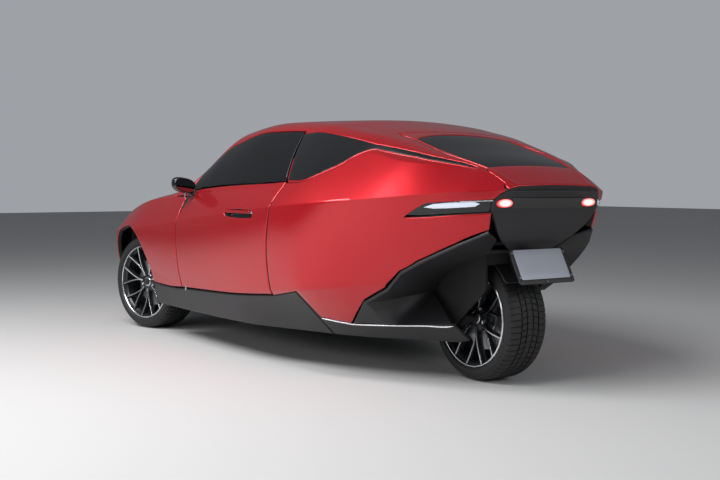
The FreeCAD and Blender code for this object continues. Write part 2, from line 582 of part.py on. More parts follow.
def arm(z_boss, z_frame, pin_from, pin_to):
    """A wishbone from the subframe to its ball pin at the kingpin."""
    boss = rod_z(24, WHEELBASE, KINGPIN_Y, z_boss, z_boss + ARM_T)
    pin = rod_z(PIN_R, WHEELBASE, KINGPIN_Y, pin_from, pin_to)
    legs = []
    for x in (WHEELBASE - 60, WHEELBASE + 60):
        near = [V(x - 16, SUBFRAME_Y, z_frame), V(x + 16, SUBFRAME_Y, z_frame)]
        near += [V(x + 16, SUBFRAME_Y, z_frame + ARM_T), V(x - 16, SUBFRAME_Y, z_frame + ARM_T)]
        y = KINGPIN_Y - 38
        far = [V(WHEELBASE - 12, y, z_boss + 1), V(WHEELBASE + 12, y, z_boss + 1)]
        far += [V(WHEELBASE + 12, y, z_boss + ARM_T - 1), V(WHEELBASE - 12, y, z_boss + ARM_T - 1)]
        ends = [Part.makePolygon(ring + ring[:1]) for ring in (near, far)]
        legs.append(Part.makeLoft(ends, True, True))
    toe = box(WHEELBASE - 14, WHEELBASE + 14, KINGPIN_Y - 44, KINGPIN_Y, z_boss, z_boss + ARM_T)
    return fuse([boss, pin, toe] + legs)


low = arm(PIN_LOW - ARM_GAP - ARM_T, 292, PIN_LOW - ARM_T, PIN_LOW + 38)
high = arm(PIN_HIGH + ARM_GAP, 480, PIN_HIGH - 38, PIN_HIGH + ARM_T)
save("wishbones", low, high, mirrored(low), mirrored(high))

# ---------------------------------------------------------------- rear wheel's arm, motor and battery
ARM_IN = 134.0
ARM_OUT = 166.0
arm_outline = [(TUB_REAR, 268), (TUB_REAR, 336), (0, 349), (-34, 330), (-34, 300), (0, 281)]
arm_side = side_prism(arm_outline, ARM_IN, ARM_OUT)
axle = rod_y(STUB_R, 0, TYRE_R, -ARM_OUT, ARM_OUT)
arm_cross = rod_y(24, 370, 302, -ARM_IN, ARM_IN)
swingarm = fuse([arm_side, mirrored(arm_side), arm_cross, axle])
save("rear_swingarm", swingarm)
save("drive_motor", hollow.common(box(TUB_REAR + 30, 640, -150, 150, 250, 420)))
save("battery_pack", hollow.common(box(700, 1880, -420, 420, 250, 330)))

guard = rod_y(TYRE_R + 23, 0, TYRE_R, -132, 132).cut(rod_y(TYRE_R + 15, 0, TYRE_R, -140, 140))
guard = guard.common(side_prism([(0, TYRE_R), (-130, 700), (-600, 720)], -200, 200))
plate_arm = side_prism([(-190, 640), (-210, 570), (-262, 530), (-396, 590), (-396, 606)], -50, 50)
guard_side = fuse([guard, plate_arm]).cut(wheelhouse)
PLATE_W = 305.0
PLATE_H = 152.0
plate = box(-3, 0, -PLATE_W / 2, PLATE_W / 2, -PLATE_H, 0)
behind = box(-60, 0, -PLATE_W, PLATE_W, -2 * PLATE_H, PLATE_H)
for piece in (plate, behind):
    piece.rotate(V(0, 0, 0), V(0, 1, 0), 28.4)
    piece.translate(V(-352, 0, 672))
save("number_plate", plate)
save("rear_mudguard", guard_side.cut(behind).cut(swingarm))

# ---------------------------------------------------------------- cabin
DASH = [(1560, 700), (1600, 820), (1760, 860), (COWL_X, 880), (COWL_X, 640), (1700, 600)]
dash = hollow.common(side_prism(DASH, -FAR, FAR))
dash = dash.cut(door_opening).cut(mirrored(door_opening)).common(box(0, FAR, -690, 690, 0, FAR))
save("dashboard", dash)
WHEEL_Y = 360.0
rim = Part.makeTorus(180, 14, V(0, 0, 0), V(0, 0, 1))
spokes = fuse([box(-182, 182, -16, 16, -8, 8), rod_z(48, 0, 0, -20, 14), box(-16, 16, -182, 0, -8, 8),
               rod_z(18, 0, 0, -120, -10)])
helm = fuse([rim, spokes])
helm.rotate(V(0, 0, 0), V(0, 0, 1), 90)
helm.rotate(V(0, 0, 0), V(0, 1, 0), -66)
helm.translate(V(1500, WHEEL_Y, 835))
save("steering_wheel", helm.cut(dash))


def seat(y, base_x, base_z, width, rake):
    """A bucket seat on its pedestal: cushion, back and head rest in one simple solid."""
    cushion = [(0, 0), (480, 60), (500, 120), (480, 160), (60, 110), (-60, 120), (-80, 30)]
    cushion = side_prism(cushion, -width / 2, width / 2)
    back = [(-80, 30), (60, 110), (60 - rake, 640), (-30 - rake, 660), (-90 - rake, 600)]
    back = side_prism(back, -width / 2 + 20, width / 2 - 20)
    rest = side_prism([(20 - rake, 640), (30 - rake, 790), (-60 - rake, 800), (-70 - rake, 640)], -110, 110)
    stand = box(0, 420, -width / 2 + 60, width / 2 - 60, 331 - base_z, 30)
    whole = fuse([cushion, back, rest, stand])
    whole.translate(V(base_x, y, base_z))
    return whole


front_seat = seat(350.0, 1010.0, 400.0, 480.0, 230.0)
save("front_seats", front_seat, mirrored(front_seat))
BENCH = [(TUB_REAR, 425), (700, 425), (740, 520), (700, 560), (490, 540), (330, 900), (240, 905), (345, 706)]
BENCH.append((TUB_REAR, 706))
bench = side_prism(BENCH, -420, 420)
save("rear_seat", bench)
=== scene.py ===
import bmesh
import bpy
import math
import numpy as np
from mathutils import Matrix, Vector
from mathutils.geometry import delaunay_2d_cdt


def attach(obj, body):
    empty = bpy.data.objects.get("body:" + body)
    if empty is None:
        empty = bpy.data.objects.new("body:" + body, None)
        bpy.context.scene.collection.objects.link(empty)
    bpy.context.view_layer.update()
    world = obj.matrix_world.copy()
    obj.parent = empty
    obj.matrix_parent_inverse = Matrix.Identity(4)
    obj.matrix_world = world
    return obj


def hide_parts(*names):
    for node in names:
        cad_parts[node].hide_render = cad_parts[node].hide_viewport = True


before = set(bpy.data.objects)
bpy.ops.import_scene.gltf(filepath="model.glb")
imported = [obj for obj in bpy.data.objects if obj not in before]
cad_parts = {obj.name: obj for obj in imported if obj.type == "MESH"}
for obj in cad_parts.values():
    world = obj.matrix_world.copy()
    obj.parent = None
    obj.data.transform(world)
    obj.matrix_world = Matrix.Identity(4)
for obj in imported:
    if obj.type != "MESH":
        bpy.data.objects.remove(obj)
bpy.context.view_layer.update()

# ---- Body form -----------------------------------------------------------------------------------
# The pressed body is one smooth form, cut into panels along its shut lines. Six lines run along each side:
# sill, lower crease, shoulder crease, belt, cant rail and roof shoulder. Each row is one station: x from the
# rear axle, then (y, z) on each of the six lines, then the centre line's height.
REAR_AXLE = -1.536
WHEELBASE = 2.742
AXLE_UP = 0.315
STATIONS = [
    (-474, (60, 620), (215, 775), (277, 957), (262, 966), (240, 970), (200, 974), 980),
    (-300, (110, 330), (385, 690), (490, 942), (314, 1046), (291, 1051), (255, 1057), 1068),
    (0, (225, 201), (530, 508), (722, 914), (541, 1093), (468, 1115), (322, 1146), 1160),
    (200, (345, 199), (655, 488), (800, 897), (586, 1136), (509, 1165), (354, 1204), 1222),
    (350, (450, 198), (743, 468), (834, 888), (702, 1061), (541, 1203), (402, 1238), 1262),
    (530, (548, 199), (800, 446), (862, 876), (782, 993), (562, 1239), (440, 1272), 1301),
    (700, (632, 204), (812, 432), (879, 862), (799, 976), (572, 1262), (465, 1303), 1331),
    (1200, (782, 206), (838, 400), (889, 818), (811, 950), (583, 1281), (470, 1327), 1345),
    (1600, (802, 206), (846, 390), (886, 782), (805, 932), (623, 1205), (520, 1281), 1307),
    (1900, (808, 206), (848, 385), (883, 752), (799, 917), (692, 1040), (622, 1076), 1136),
    (2060, (809, 206), (848, 388), (884, 734), (797, 908), (736, 948), (640, 968), 1008),
    (2200, (810, 206), (850, 400), (885, 718), (792, 900), (716, 930), (600, 952), 982),
    (2500, (815, 208), (856, 440), (888, 694), (790, 874), (700, 894), (560, 908), 926),
    (2900, (790, 210), (835, 430), (866, 668), (764, 802), (664, 832), (520, 848), 864),
    (3250, (690, 214), (735, 410), (757, 628), (654, 708), (560, 738), (430, 755), 768),
    (3450, (560, 220), (610, 400), (627, 588), (534, 640), (450, 662), (340, 675), 685),
    (3546, (430, 226), (480, 400), (502, 553), (432, 592), (360, 606), (270, 615), 622),
]


def smooth_line(x, stations, values):
    """A curve through the values that never overshoots them."""
    step = np.diff(stations)
    slope = np.diff(values) / step
    tangent = np.zeros(len(values))
    same = slope[:-1] * slope[1:] > 0
    wide = 2 * step[1:] + step[:-1]
    near = step[1:] + 2 * step[:-1]
    safe = np.where(same, slope[:-1] * slope[1:], 1.0)
    mean = (wide + near) * safe / (wide * slope[1:] + near * slope[:-1] + 1e-12)
    tangent[1:-1] = np.where(same, mean, 0.0)
    tangent[0] = slope[0]
    tangent[-1] = slope[-1]
    k = np.clip(np.searchsorted(stations, x) - 1, 0, len(step) - 1)
    u = (x - stations[k]) / step[k]
    a, b = values[k], values[k + 1]
    ta, tb = tangent[k] * step[k], tangent[k + 1] * step[k]
    leaving = (2 * u**3 - 3 * u**2 + 1) * a + (u**3 - 2 * u**2 + u) * ta
    return leaving + (3 * u**2 - 2 * u**3) * b + (u**3 - u**2) * tb


# How far each strip between two lines bows outwards, as a share of its own width
BOW = [0.0, 0.045, 0.02, 0.04, 0.07, 0.0]
STRIP = 16
stations = np.array([row[0] for row in STATIONS], float) / 1000
lines = np.array([[*row[1:7], (0, row[7])] for row in STATIONS], float) / 1000
grid_x = np.linspace(stations[0], stations[-1], 403)
knots = np.stack([[smooth_line(grid_x, stations, lines[:, k, c]) for c in (0, 1)] for k in range(7)])
rows = []
for k in range(5):
    (y0, z0), (y1, z1) = knots[k], knots[k + 1]
    for s in np.arange(STRIP) / STRIP:
        bow = 4 * s * (1 - s) * BOW[k]
        rows.append((y0 + (y1 - y0) * s + (z1 - z0) * bow, z0 + (z1 - z0) * s + (y0 - y1) * bow))
# over the roof and bonnet the last strip is one curve that crosses the centre line level
(y5, z5), (_, z6) = knots[5], knots[6]
for s in np.arange(STRIP + 1) / STRIP:
    rows.append((y5 * (1 - s), z5 + (z6 - z5) * (1 - (1 - s) ** 2)))
half = np.array(rows)
full = np.concatenate([half, half[-2::-1] * np.array([-1, 1])[:, None]])
grid_y, grid_z = full[:, 0], full[:, 1]
ACROSS = len(full)
# a flat map of the form: x along, and the width of each strip across
strip_width = np.repeat([0.21, 0.42, 0.16, 0.34, 0.14, 0.45], STRIP) / STRIP
half_map = np.concatenate([[0], np.cumsum(strip_width)])
grid_w = np.concatenate([half_map, 2 * half_map[-1] - half_map[-2::-1]])
MIDDLE = half_map[-1]


def at(grid, x, w):
    """The grid's value at map points (x, w)."""
    i = np.clip((x - grid_x[0]) / (grid_x[1] - grid_x[0]), 0, len(grid_x) - 1.001)
    j = np.clip(np.interp(w, grid_w, np.arange(ACROSS)), 0, ACROSS - 1.001)
    i0, j0 = i.astype(int), j.astype(int)
    fi, fj = i - i0, j - j0
    return ((grid[j0, i0] * (1 - fj) + grid[j0 + 1, i0] * fj) * (1 - fi)
            + (grid[j0, i0 + 1] * (1 - fj) + grid[j0 + 1, i0 + 1] * fj) * fi)


def on_body(points):
    """Body points for map points, in the car's frame."""
    x, w = np.asarray(points, float).T
    x = np.clip(x, grid_x[0], grid_x[-1])
    return np.stack([x + REAR_AXLE, at(grid_y, x, w), at(grid_z, x, w)], 1)


def normals(form, points):
    """Outward unit normals of a form at its map points."""
    p = np.asarray(points, float)
    d = 0.005
    along = form(p + [d, 0]) - form(p - [d, 0])
    across = form(p + [0, d]) - form(p - [0, d])
    n = np.cross(across, along)
    return n / np.linalg.norm(n, axis=1)[:, None]


def from_side(outline):
    """Map points for a side-view outline of (x, z) in millimetres, on the left side."""
    out = []
    for x, z in outline:
        x, z = x / 1000, z / 1000
        column = np.array([np.interp(x, grid_x, grid_z[j]) for j in range(len(half_map))])
        out.append((x, float(np.interp(z, np.maximum.accumulate(column), half_map))))
    return out


def from_top(outline):
    """Map points for a plan outline of (x, y) in millimetres, above the shoulder crease."""
    out = []
    first = 2 * STRIP
    for x, y in outline:
        x, y = x / 1000, y / 1000
        column = np.array([np.interp(x, grid_x, grid_y[j]) for j in range(first, ACROSS - first)])
        out.append((x, float(np.interp(-y, np.maximum.accumulate(-column), grid_w[first:ACROSS - first]))))
    return out


def mirror_map(points):
    """The same map points on the car's right side."""
    return [(x, 2 * MIDDLE - w) for x, w in points]


def both_sides(left):
    """Closes a left half outline across the centre line."""
    return left + mirror_map(left)[::-1]


def walk(loop, step):
    """The closed loop with points no further apart than step."""
    out = []
    for a, b in zip(loop, loop[1:] + loop[:1]):
        n = max(1, int(math.ceil(math.dist(a, b) / step)))
        out += [(a[0] + (b[0] - a[0]) * i / n, a[1] + (b[1] - a[1]) * i / n) for i in range(n)]
    return out


def inside(points, loop):
    """Which of the points lie inside the loop."""
    p, q = np.asarray(points, float), np.asarray(loop, float)
    a, b = q, np.roll(q, -1, axis=0)
    hit = np.zeros(len(p), bool)
    for (x0, y0), (x1, y1) in zip(a, b):
        if y0 == y1:
            continue
        crosses = (y0 > p[:, 1]) != (y1 > p[:, 1])
        hit ^= crosses & (p[:, 0] < (x1 - x0) * (p[:, 1] - y0) / (y1 - y0) + x0)
    return hit


def map_mesh(loop, holes=(), step=0.024, creased=True):
    """Triangles over a map outline: an even grid inside, exact edges, and close rows along the creases."""
    edges_of = [walk(loop, step * 0.55)] + [walk(list(h), step * 0.55) for h in holes]
    rim = [p for part in edges_of for p in part]
    pairs, first = [], 0
    for part in edges_of:
        pairs += [(first + i, first + (i + 1) % len(part)) for i in range(len(part))]
        first += len(part)
    lo, hi = np.min(rim, axis=0), np.max(rim, axis=0)
    ws = [] if creased else list(np.arange(math.ceil(lo[1] / step) * step, hi[1], step))
    for side in (1, -1) if creased else ():
        marks = [MIDDLE + side * (grid_w[k * STRIP] - MIDDLE) for k in range(7)]
        for a, b in zip(marks, marks[1:]):
            n = max(1, round(abs(b - a) / step))
            ws += [a + (b - a) * i / n for i in range(n)]
        ws += [m + d for m in marks[1:5] for d in (-0.007, 0.007)]
    middle_row = {MIDDLE} if creased and lo[1] < MIDDLE < hi[1] else set()
    ws = sorted({round(w, 5) for w in ws if lo[1] < w < hi[1]} | middle_row)
    xs = np.arange(math.ceil(lo[0] / step) * step, hi[0], step)
    grid = np.array([(x, w) for w in ws for x in xs]) if ws and len(xs) else np.zeros((0, 2))
    if len(grid):
        keep = inside(grid, edges_of[0])
        for part in edges_of[1:]:
            keep &= ~inside(grid, part)
        grid = grid[keep]
    if len(grid):
        rim_array = np.array(rim)
        near = np.array([np.min(np.sum((rim_array - g) ** 2, axis=1)) for g in grid])
        grid = grid[near > (0.42 * step) ** 2]
    flat = [Vector(p) for p in rim] + [Vector(p) for p in grid]
    verts, _, tris, *_ = delaunay_2d_cdt(flat, pairs, [], 0, 1e-6)
    verts = np.array([tuple(v) for v in verts])
    tris = np.array([t for t in tris if len(t) == 3])
    middle = verts[tris].mean(axis=1)
    keep = inside(middle, edges_of[0])
    for part in edges_of[1:]:
        keep &= ~inside(middle, part)
    tris = tris[keep]
    a, b, c = verts[tris[:, 0]], verts[tris[:, 1]], verts[tris[:, 2]]
    turn = (b[:, 0] - a[:, 0]) * (c[:, 1] - a[:, 1]) - (b[:, 1] - a[:, 1]) * (c[:, 0] - a[:, 0])
    tris[turn < 0] = tris[turn < 0][:, ::-1]
    used = np.unique(tris)
    again = np.full(len(verts), -1)
    again[used] = np.arange(len(used))
    return verts[used], again[tris]


def new_mesh(name, verts, faces, material=None, angle=50.0):
    """A mesh object in the car's frame, smooth except across edges sharper than angle."""
    mesh = bpy.data.meshes.new(name)
    mesh.from_pydata([tuple(v) for v in verts], [], [tuple(int(i) for i in f) for f in faces])
    mesh.update()
    mesh.shade_smooth()
    mesh.set_sharp_from_angle(angle=math.radians(angle))
    obj = bpy.data.objects.new(name, mesh)
    bpy.context.scene.collection.objects.link(obj)
    if material:
        mesh.materials.append(material)
    return obj


def panel(name, loop, thick, material, holes=(), roll=0.004, lift=0.0, step=0.024, inner=None,
          form=on_body):
    """A pressed panel on a form: its outer skin, rolled edges, and the side and inner faces behind them."""
    flat, tris = map_mesh(loop, holes, step, form is on_body)
    n = normals(form, flat)
    p = form(flat) + n * lift
    face_n = np.cross(p[tris[:, 1]] - p[tris[:, 0]], p[tris[:, 2]] - p[tris[:, 0]])
    if np.sum(face_n * n[tris[:, 0]]) < 0:
        tris = tris[:, ::-1]
    ways = {}
    for t in tris:
        for a, b in ((t[0], t[1]), (t[1], t[2]), (t[2], t[0])):
            ways[(int(a), int(b))] = True
    rim = [(a, b) for a, b in ways if (b, a) not in ways]
    out = np.zeros_like(p)
    for a, b in rim:
        side = np.cross(p[b] - p[a], n[a] + n[b])
        side /= np.linalg.norm(side) + 1e-12
        out[a] += side
        out[b] += side
    length = np.linalg.norm(out, axis=1)
    out[length > 0] /= length[length > 0][:, None]
    skin = p - out * roll
    ring_ids = sorted({a for a, _ in rim})
    place = {v: i for i, v in enumerate(ring_ids)}
    q, m, o = p[ring_ids], n[ring_ids], out[ring_ids]
    verts, faces = [skin], [tuple(t) for t in tris]
    previous = {v: v for v in ring_ids}
    total = len(skin)
    rings = [(-roll + roll * math.sin(a), -roll * (1 - math.cos(a))) for a in (0.5, 1.05, math.pi / 2)]
    rings += [(0.0, -(thick - roll))] + [(-roll * 0.6, -thick)]
    for outward, up in rings:
        verts.append(q + o * outward + m * up)
        now = {v: total + place[v] for v in ring_ids}
        faces += [(previous[b], previous[a], now[a], now[b]) for a, b in rim]
        previous = now
        total += len(ring_ids)
    back_of = np.zeros(len(p), int)
    inner_ids = [v for v in range(len(p)) if v not in place]
    back_of[inner_ids] = total + np.arange(len(inner_ids))
    for v in ring_ids:
        back_of[v] = previous[v]
    verts.append(p[inner_ids] - n[inner_ids] * thick)
    faces += [tuple(back_of[t][::-1]) for t in tris]
    obj = new_mesh(name, np.concatenate(verts), faces, material)
    # Past the rolled edge, the flange walls seen in the shut gaps and the back faces take the inner finish;
    # the dark lining there is painted shade in the gaps.
    if inner:
        obj.data.materials.append(inner)
        for f in obj.data.polygons[len(tris) + 3 * len(rim):]:
            f.material_index = 1
    return obj


def mirrored(obj, name):
    """The right-hand copy of a left-hand piece."""
    mesh = obj.data.copy()
    mesh.name = name
    mesh.transform(Matrix.Diagonal((1, -1, 1, 1)))
    mesh.flip_normals()
    twin = bpy.data.objects.new(name, mesh)
    bpy.context.scene.collection.objects.link(twin)
    return twin


# ---- Paint and plain finishes --------------------------------------------------------------------
# Deep metallic red under a clear coat: fine flake breaks up the base's shine and the lacquer has a faint
# orange peel. Satin plastics have a moulded grain, and gloss black only the slightest waviness.
def shade_group(name, inputs, outputs):
    """A shader node group with plain float sockets, and its input and output nodes."""
    group = bpy.data.node_groups.new(name, "ShaderNodeTree")
    for label, value in inputs.items():
        group.interface.new_socket(name=label, in_out="INPUT",
                                   socket_type="NodeSocketFloat").default_value = value
    for label in outputs:
        group.interface.new_socket(name=label, in_out="OUTPUT", socket_type="NodeSocketFloat")
    return group, group.nodes.new("NodeGroupInput"), group.nodes.new("NodeGroupOutput")


def add_node(tree, kind, links=(), **settings):
    """A node with its settings, fed by (input, source socket) pairs."""
    made = tree.nodes.new(kind)
    for key, value in settings.items():
        setattr(made, key, value)
    for key, source in links:
        if hasattr(source, "is_output"):
            tree.links.new(source, made.inputs[key])
        else:
            made.inputs[key].default_value = source
    return made


grain, grain_in, grain_out = shade_group("grain", {"Scale": 900.0, "Roughness": 0.4, "Spread": 0.1},
                                         ("Roughness", "Height"))
place = add_node(grain, "ShaderNodeTexCoord")
noise = add_node(grain, "ShaderNodeTexNoise", [("Vector", place.outputs["Object"]),
                                               ("Scale", grain_in.outputs["Scale"])])
noise.inputs["Detail"].default_value = 3.0
blotch = add_node(grain, "ShaderNodeTexNoise", [("Vector", place.outputs["Object"]), ("Scale", 3.5)])
mixed = add_node(grain, "ShaderNodeMath", [(0, noise.outputs[0]), (1, blotch.outputs[0])], operation="ADD")
centred = add_node(grain, "ShaderNodeMath", [(0, mixed.outputs[0]), (1, 1.0)], operation="SUBTRACT")
spread = add_node(grain, "ShaderNodeMath", [(0, centred.outputs[0]), (1, grain_in.outputs["Spread"]),
                                            (2, grain_in.outputs["Roughness"])], operation="MULTIPLY_ADD")
grain.links.new(spread.outputs[0], grain_out.inputs["Roughness"])
grain.links.new(noise.outputs[0], grain_out.inputs["Height"])


def surface(name, color, metallic=0.0, rough=0.5, coat=0.0, scale=900.0, spread=0.08, depth=0.00005,
            **more):
    """A finish whose shine varies a little, with a fine surface grain of the given depth in metres."""
    material = bpy.data.materials.new(name)
    material.use_nodes = True
    tree = material.node_tree
    shader = tree.nodes["Principled BSDF"]
    shader.inputs["Base Color"].default_value = (*color, 1)
    shader.inputs["Metallic"].default_value = metallic
    shader.inputs["Coat Weight"].default_value = coat
    shader.inputs["Coat Roughness"].default_value = 0.03
    for key, value in more.items():
        shader.inputs[key.replace("_", " ")].default_value = value
    fine = add_node(tree, "ShaderNodeGroup", node_tree=grain)
    for key, value in (("Scale", scale), ("Roughness", rough), ("Spread", spread)):
        fine.inputs[key].default_value = value
    tree.links.new(fine.outputs["Roughness"], shader.inputs["Roughness"])
    if depth:
        bump = add_node(tree, "ShaderNodeBump", [("Height", fine.outputs["Height"]), ("Distance", depth)])
        tree.links.new(bump.outputs["Normal"], shader.inputs["Normal"])
    return material


paint = surface("body_paint", (0.56, 0.004, 0.012), metallic=0.6, rough=0.31, coat=0.7, scale=2600,
                depth=0.00002)
black_gloss = surface("gloss_black", (0.006, 0.006, 0.007), rough=0.10, coat=0.5, scale=60, spread=0.03,
                      depth=0.0)
black_satin = surface("satin_black", (0.018, 0.018, 0.020), rough=0.42, scale=1400)
# A dark lining for the panels' backs and the tail's underside, also used as painted shade: on the flange
# walls deep in the shut gaps and on the brake discs' grooves.
lining_and_shade = surface("dark_lining", (0.02, 0.02, 0.022), rough=0.8, scale=700)
bright = surface("bright_trim", (0.80, 0.81, 0.83), metallic=1.0, rough=0.14, scale=300, spread=0.04,
                 depth=0.0)


def own(obj, body, slot, *nodes):
    """Ties a piece to its body, and hides the solids that it stands for. Its slot, the record's finish it
    wears, is not used.
    """
    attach(obj, body)
    if nodes:
        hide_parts(*nodes)
    return obj


def own_both(obj, body, slot, *nodes):
    """Ties a left-hand piece, and a right-hand copy of it to the same things on the right."""
    own(obj, body, slot, *nodes)
    name, body, *nodes = [text.replace("left", "right") for text in (obj.name, body, *nodes)]
    own(mirrored(obj, name), body, slot, *nodes)


# ---- Roof ----------------------------------------------------------------------------------------
# One pressing from the cowl over the cabin to the tail pillars. The windscreen and the dark quarter windows
# are openings in it; the hatch closes the gap between the two tail pillars.
CANT = [(1868, 1068), (1665, 1180), (1440, 1240), (1229, 1266), (903, 1262), (822, 1256)]
QUARTER_TOP = [(540, 989), (400, 1032), (300, 1080), (240, 1130), (192, 1146), (129, 1134), (-25, 1105)]
QUARTER_TOP += [(-138, 1080), (-247, 1056), (-296, 1045)]
roof_left = from_top([(2077, 0.01), (2075, 300), (2068, 500), (2062, 632)])
roof_left += from_side([(2074, 908), (1893, 909), (1890, 938), (1880, 940)])
roof_left += from_side([(x + 2, z + 6) for x, z in CANT[:-1]] + [(813, 1262), (655, 997), (642, 988)])
roof_left += from_side([(x, z + 2.5) for x, z in QUARTER_TOP])
roof_left += from_top([(-306, 275), (262, 345), (314, 338), (307, 300), (301, 0.01)])
SCREEN_EDGE = [(2060, 0.01), (2050, 250), (2020, 450), (1966, 590), (1600, 500), (1545, 300), (1530, 0.01)]
screen_left = from_top(SCREEN_EDGE)
QUARTER_GLASS = [(806, 1247), (655, 1001), (545, 999), (406, 1041), (306, 1089), (246, 1137), (192, 1153)]
QUARTER_GLASS += [(129, 1141), (-25, 1111), (-138, 1086), (-247, 1062), (-282, 1057), (-227, 1075)]
QUARTER_GLASS += [(-115, 1103), (7, 1132), (139, 1158), (280, 1185), (461, 1222), (600, 1244), (700, 1253)]
side_glass = from_side(QUARTER_GLASS)
roof_holes = [both_sides(screen_left), side_glass, mirror_map(side_glass)]
roof = panel("roof_skin", both_sides(roof_left), 0.016, paint, roof_holes, inner=lining_and_shade)
own(roof, "car", "paint", "roof")

# ---- Quarter panels ------------------------------------------------------------------------------
# The red rear sides. Each runs from the door's shut line round to the tail, with the lamp recess cut into
# its end and a pointed flap that laps down over the dark sill.
QUARTER_LOW = [(792, 396), (553, 438), (547, 298), (400, 275), (233, 411), (87, 484), (-17, 571)]
QUARTER_LOW += [(-111, 624), (-270, 707), (-390, 772)]
RECESS = [(-427, 911), (-217, 893), (-123, 826), (-411, 849)]
quarter_loop = from_side([(792, 396), (730, 684), (682, 858), (660, 986)] + QUARTER_TOP)
quarter_loop += from_top([(-308, 276), (-440, 280)]) + from_side([(-466, 953), (-446, 935)] + RECESS)
quarter_loop += from_side([(-398, 800)] + QUARTER_LOW[:0:-1])
quarter = panel("quarter_left_skin", quarter_loop, 0.05, paint, inner=lining_and_shade)
own_both(quarter, "car", "paint", "quarter_left")

# ---- Doors ---------------------------------------------------------------------------------------
# Long front-hinged doors. The shoulder crease and the belt run straight through them into the quarter
# panels. The handle is a flush bar across a scoop, with a bright cap at its rear end.
DOOR = [(1892, 353), (800, 402), (738, 690), (690, 864), (668, 992), (1879, 932), (1881, 917), (1874, 752),
        (1877, 600)]
SCOOP = [(862, 822), (880, 801), (1030, 797), (1180, 803), (1201, 824), (1180, 842), (1030, 847),
         (880, 844)]
door = panel("door_left_skin", from_side(DOOR), 0.085, paint, [from_side(SCOOP)], inner=lining_and_shade)
own_both(door, "door_left", "paint", "door_panel_left")
WIDE_SCOOP = [(850, 822), (875, 790), (1030, 786), (1185, 792), (1212, 824), (1185, 852), (1030, 857),
              (875, 854)]
scoop = panel("handle_scoop_left", from_side(WIDE_SCOOP), 0.003, black_gloss, lift=-0.024)
own_both(scoop, "door_left", "paint")
BAR = [(892, 833), (905, 823), (1175, 824), (1186, 832), (1175, 840), (905, 841)]
bar = panel("handle_bar_left", from_side(BAR), 0.012, paint, roll=0.003, lift=-0.001, step=0.012)
own_both(bar, "door_left", "paint", "door_handle_left")
CAP = [(866, 833), (871, 824), (888, 824), (888, 841), (871, 841)]
cap = panel("handle_cap_left", from_side(CAP), 0.013, bright, roll=0.003, lift=0.0, step=0.01)
own_both(cap, "door_left", "steel")

# ---- Fenders -------------------------------------------------------------------------------------
# Each fender carries the shoulder crease forward over the front wheel and down to the nose.
ARCH_X, ARCH_Z, ARCH_R = 1000 * WHEELBASE, 1000 * AXLE_UP, 387
ARCH = [(ARCH_X + ARCH_R * math.cos(a), ARCH_Z + ARCH_R * math.sin(a))
        for a in np.radians(np.arange(5, 176, 5))]
fender_loop = from_side([(1902, 350), (1886, 600), (1884, 752), (1890, 904), (2078, 903)])
fender_loop += from_top([(2080, 647), (2500, 617), (2900, 567), (3196, 464)])
fender_loop += from_side([(3197, 700), (3197, 349)] + ARCH)
fender = panel("fender_left_skin", fender_loop, 0.03, paint, inner=lining_and_shade)
own_both(fender, "car", "paint", "fender_left")

# ---- Bonnet --------------------------------------------------------------------------------------
# A wide pressing hinged at the cowl, following the crown of the fenders on both sides.
hood_left = from_top([(2100, 0.01), (2095, 300), (2082, 500), (2073, 640), (2500, 610), (2900, 560),
                      (3250, 440)])
hood_left += from_top([(3330, 360), (3330, 0.01)])
hood = panel("bonnet_skin", both_sides(hood_left), 0.028, paint, inner=lining_and_shade)
own(hood, "hood", "paint", "hood_panel")

# ---- Hatch ---------------------------------------------------------------------------------------
# The rear window's frame and the tail lip are one lid, hinged at the back of the roof. The glass is set in
# from its edge by a slim rim, and its rear edge is the lip.
hatch_left = from_top([(294, 0.01), (300, 300), (303, 331), (262, 331), (-306, 268), (-470, 276)])
hatch_left += from_top([(-474, 268), (-474, 0.01)])
REAR_GLASS = [(250, 0.01), (245, 100), (230, 200), (207, 275), (180, 312), (-298, 260), (-300, 0.01)]
rear_glass = from_top(REAR_GLASS)
lid = panel("hatch_skin", both_sides(hatch_left), 0.028, paint, [both_sides(rear_glass)], inner=lining_and_shade)
own(lid, "hatch", "paint", "hatch_panel")

# ---- Nose ----------------------------------------------------------------------------------------
# The front bumper wraps round from the fenders and closes on a shallow curved face with a low black intake.
# The head lamps sit in openings in its shoulders.
def nose_x(y):
    """Where the bumper's skin meets the front face: swept back towards the corners."""
    return 3.546 - 0.055 * (y / 0.5) ** 2


HEAD_LAMP = [(3165, 700), (3183, 733), (3420, 668), (3466, 630), (3438, 612), (3300, 642)]
head_lamp = from_side(HEAD_LAMP)
front_rows = np.arange(0, STRIP * 6 + 1, 4)
nose_edge = []
for j in front_rows:
    y = float(np.interp(3.5, grid_x, grid_y[j]))
    nose_edge.append((nose_x(y), float(grid_w[j])))
nose_left = from_top([(3336, 0.01), (3336, 366), (3254, 448), (3203, 466)])
nose_left += from_side([(3203, 700), (3203, 349), (3127, 346)]) + [(3.127, 0.0)] + nose_edge
lamp_holes = [head_lamp, mirror_map(head_lamp)]
nose = panel("nose_skin", both_sides(nose_left), 0.03, paint, lamp_holes, inner=lining_and_shade)
own(nose, "car", "paint", "nose_bumper")


def on_nose(points):
    """The front face, for map points of (minus y, z)."""
    u, v = np.asarray(points, float).T
    return np.stack([nose_x(u) + REAR_AXLE, -u, v], 1)


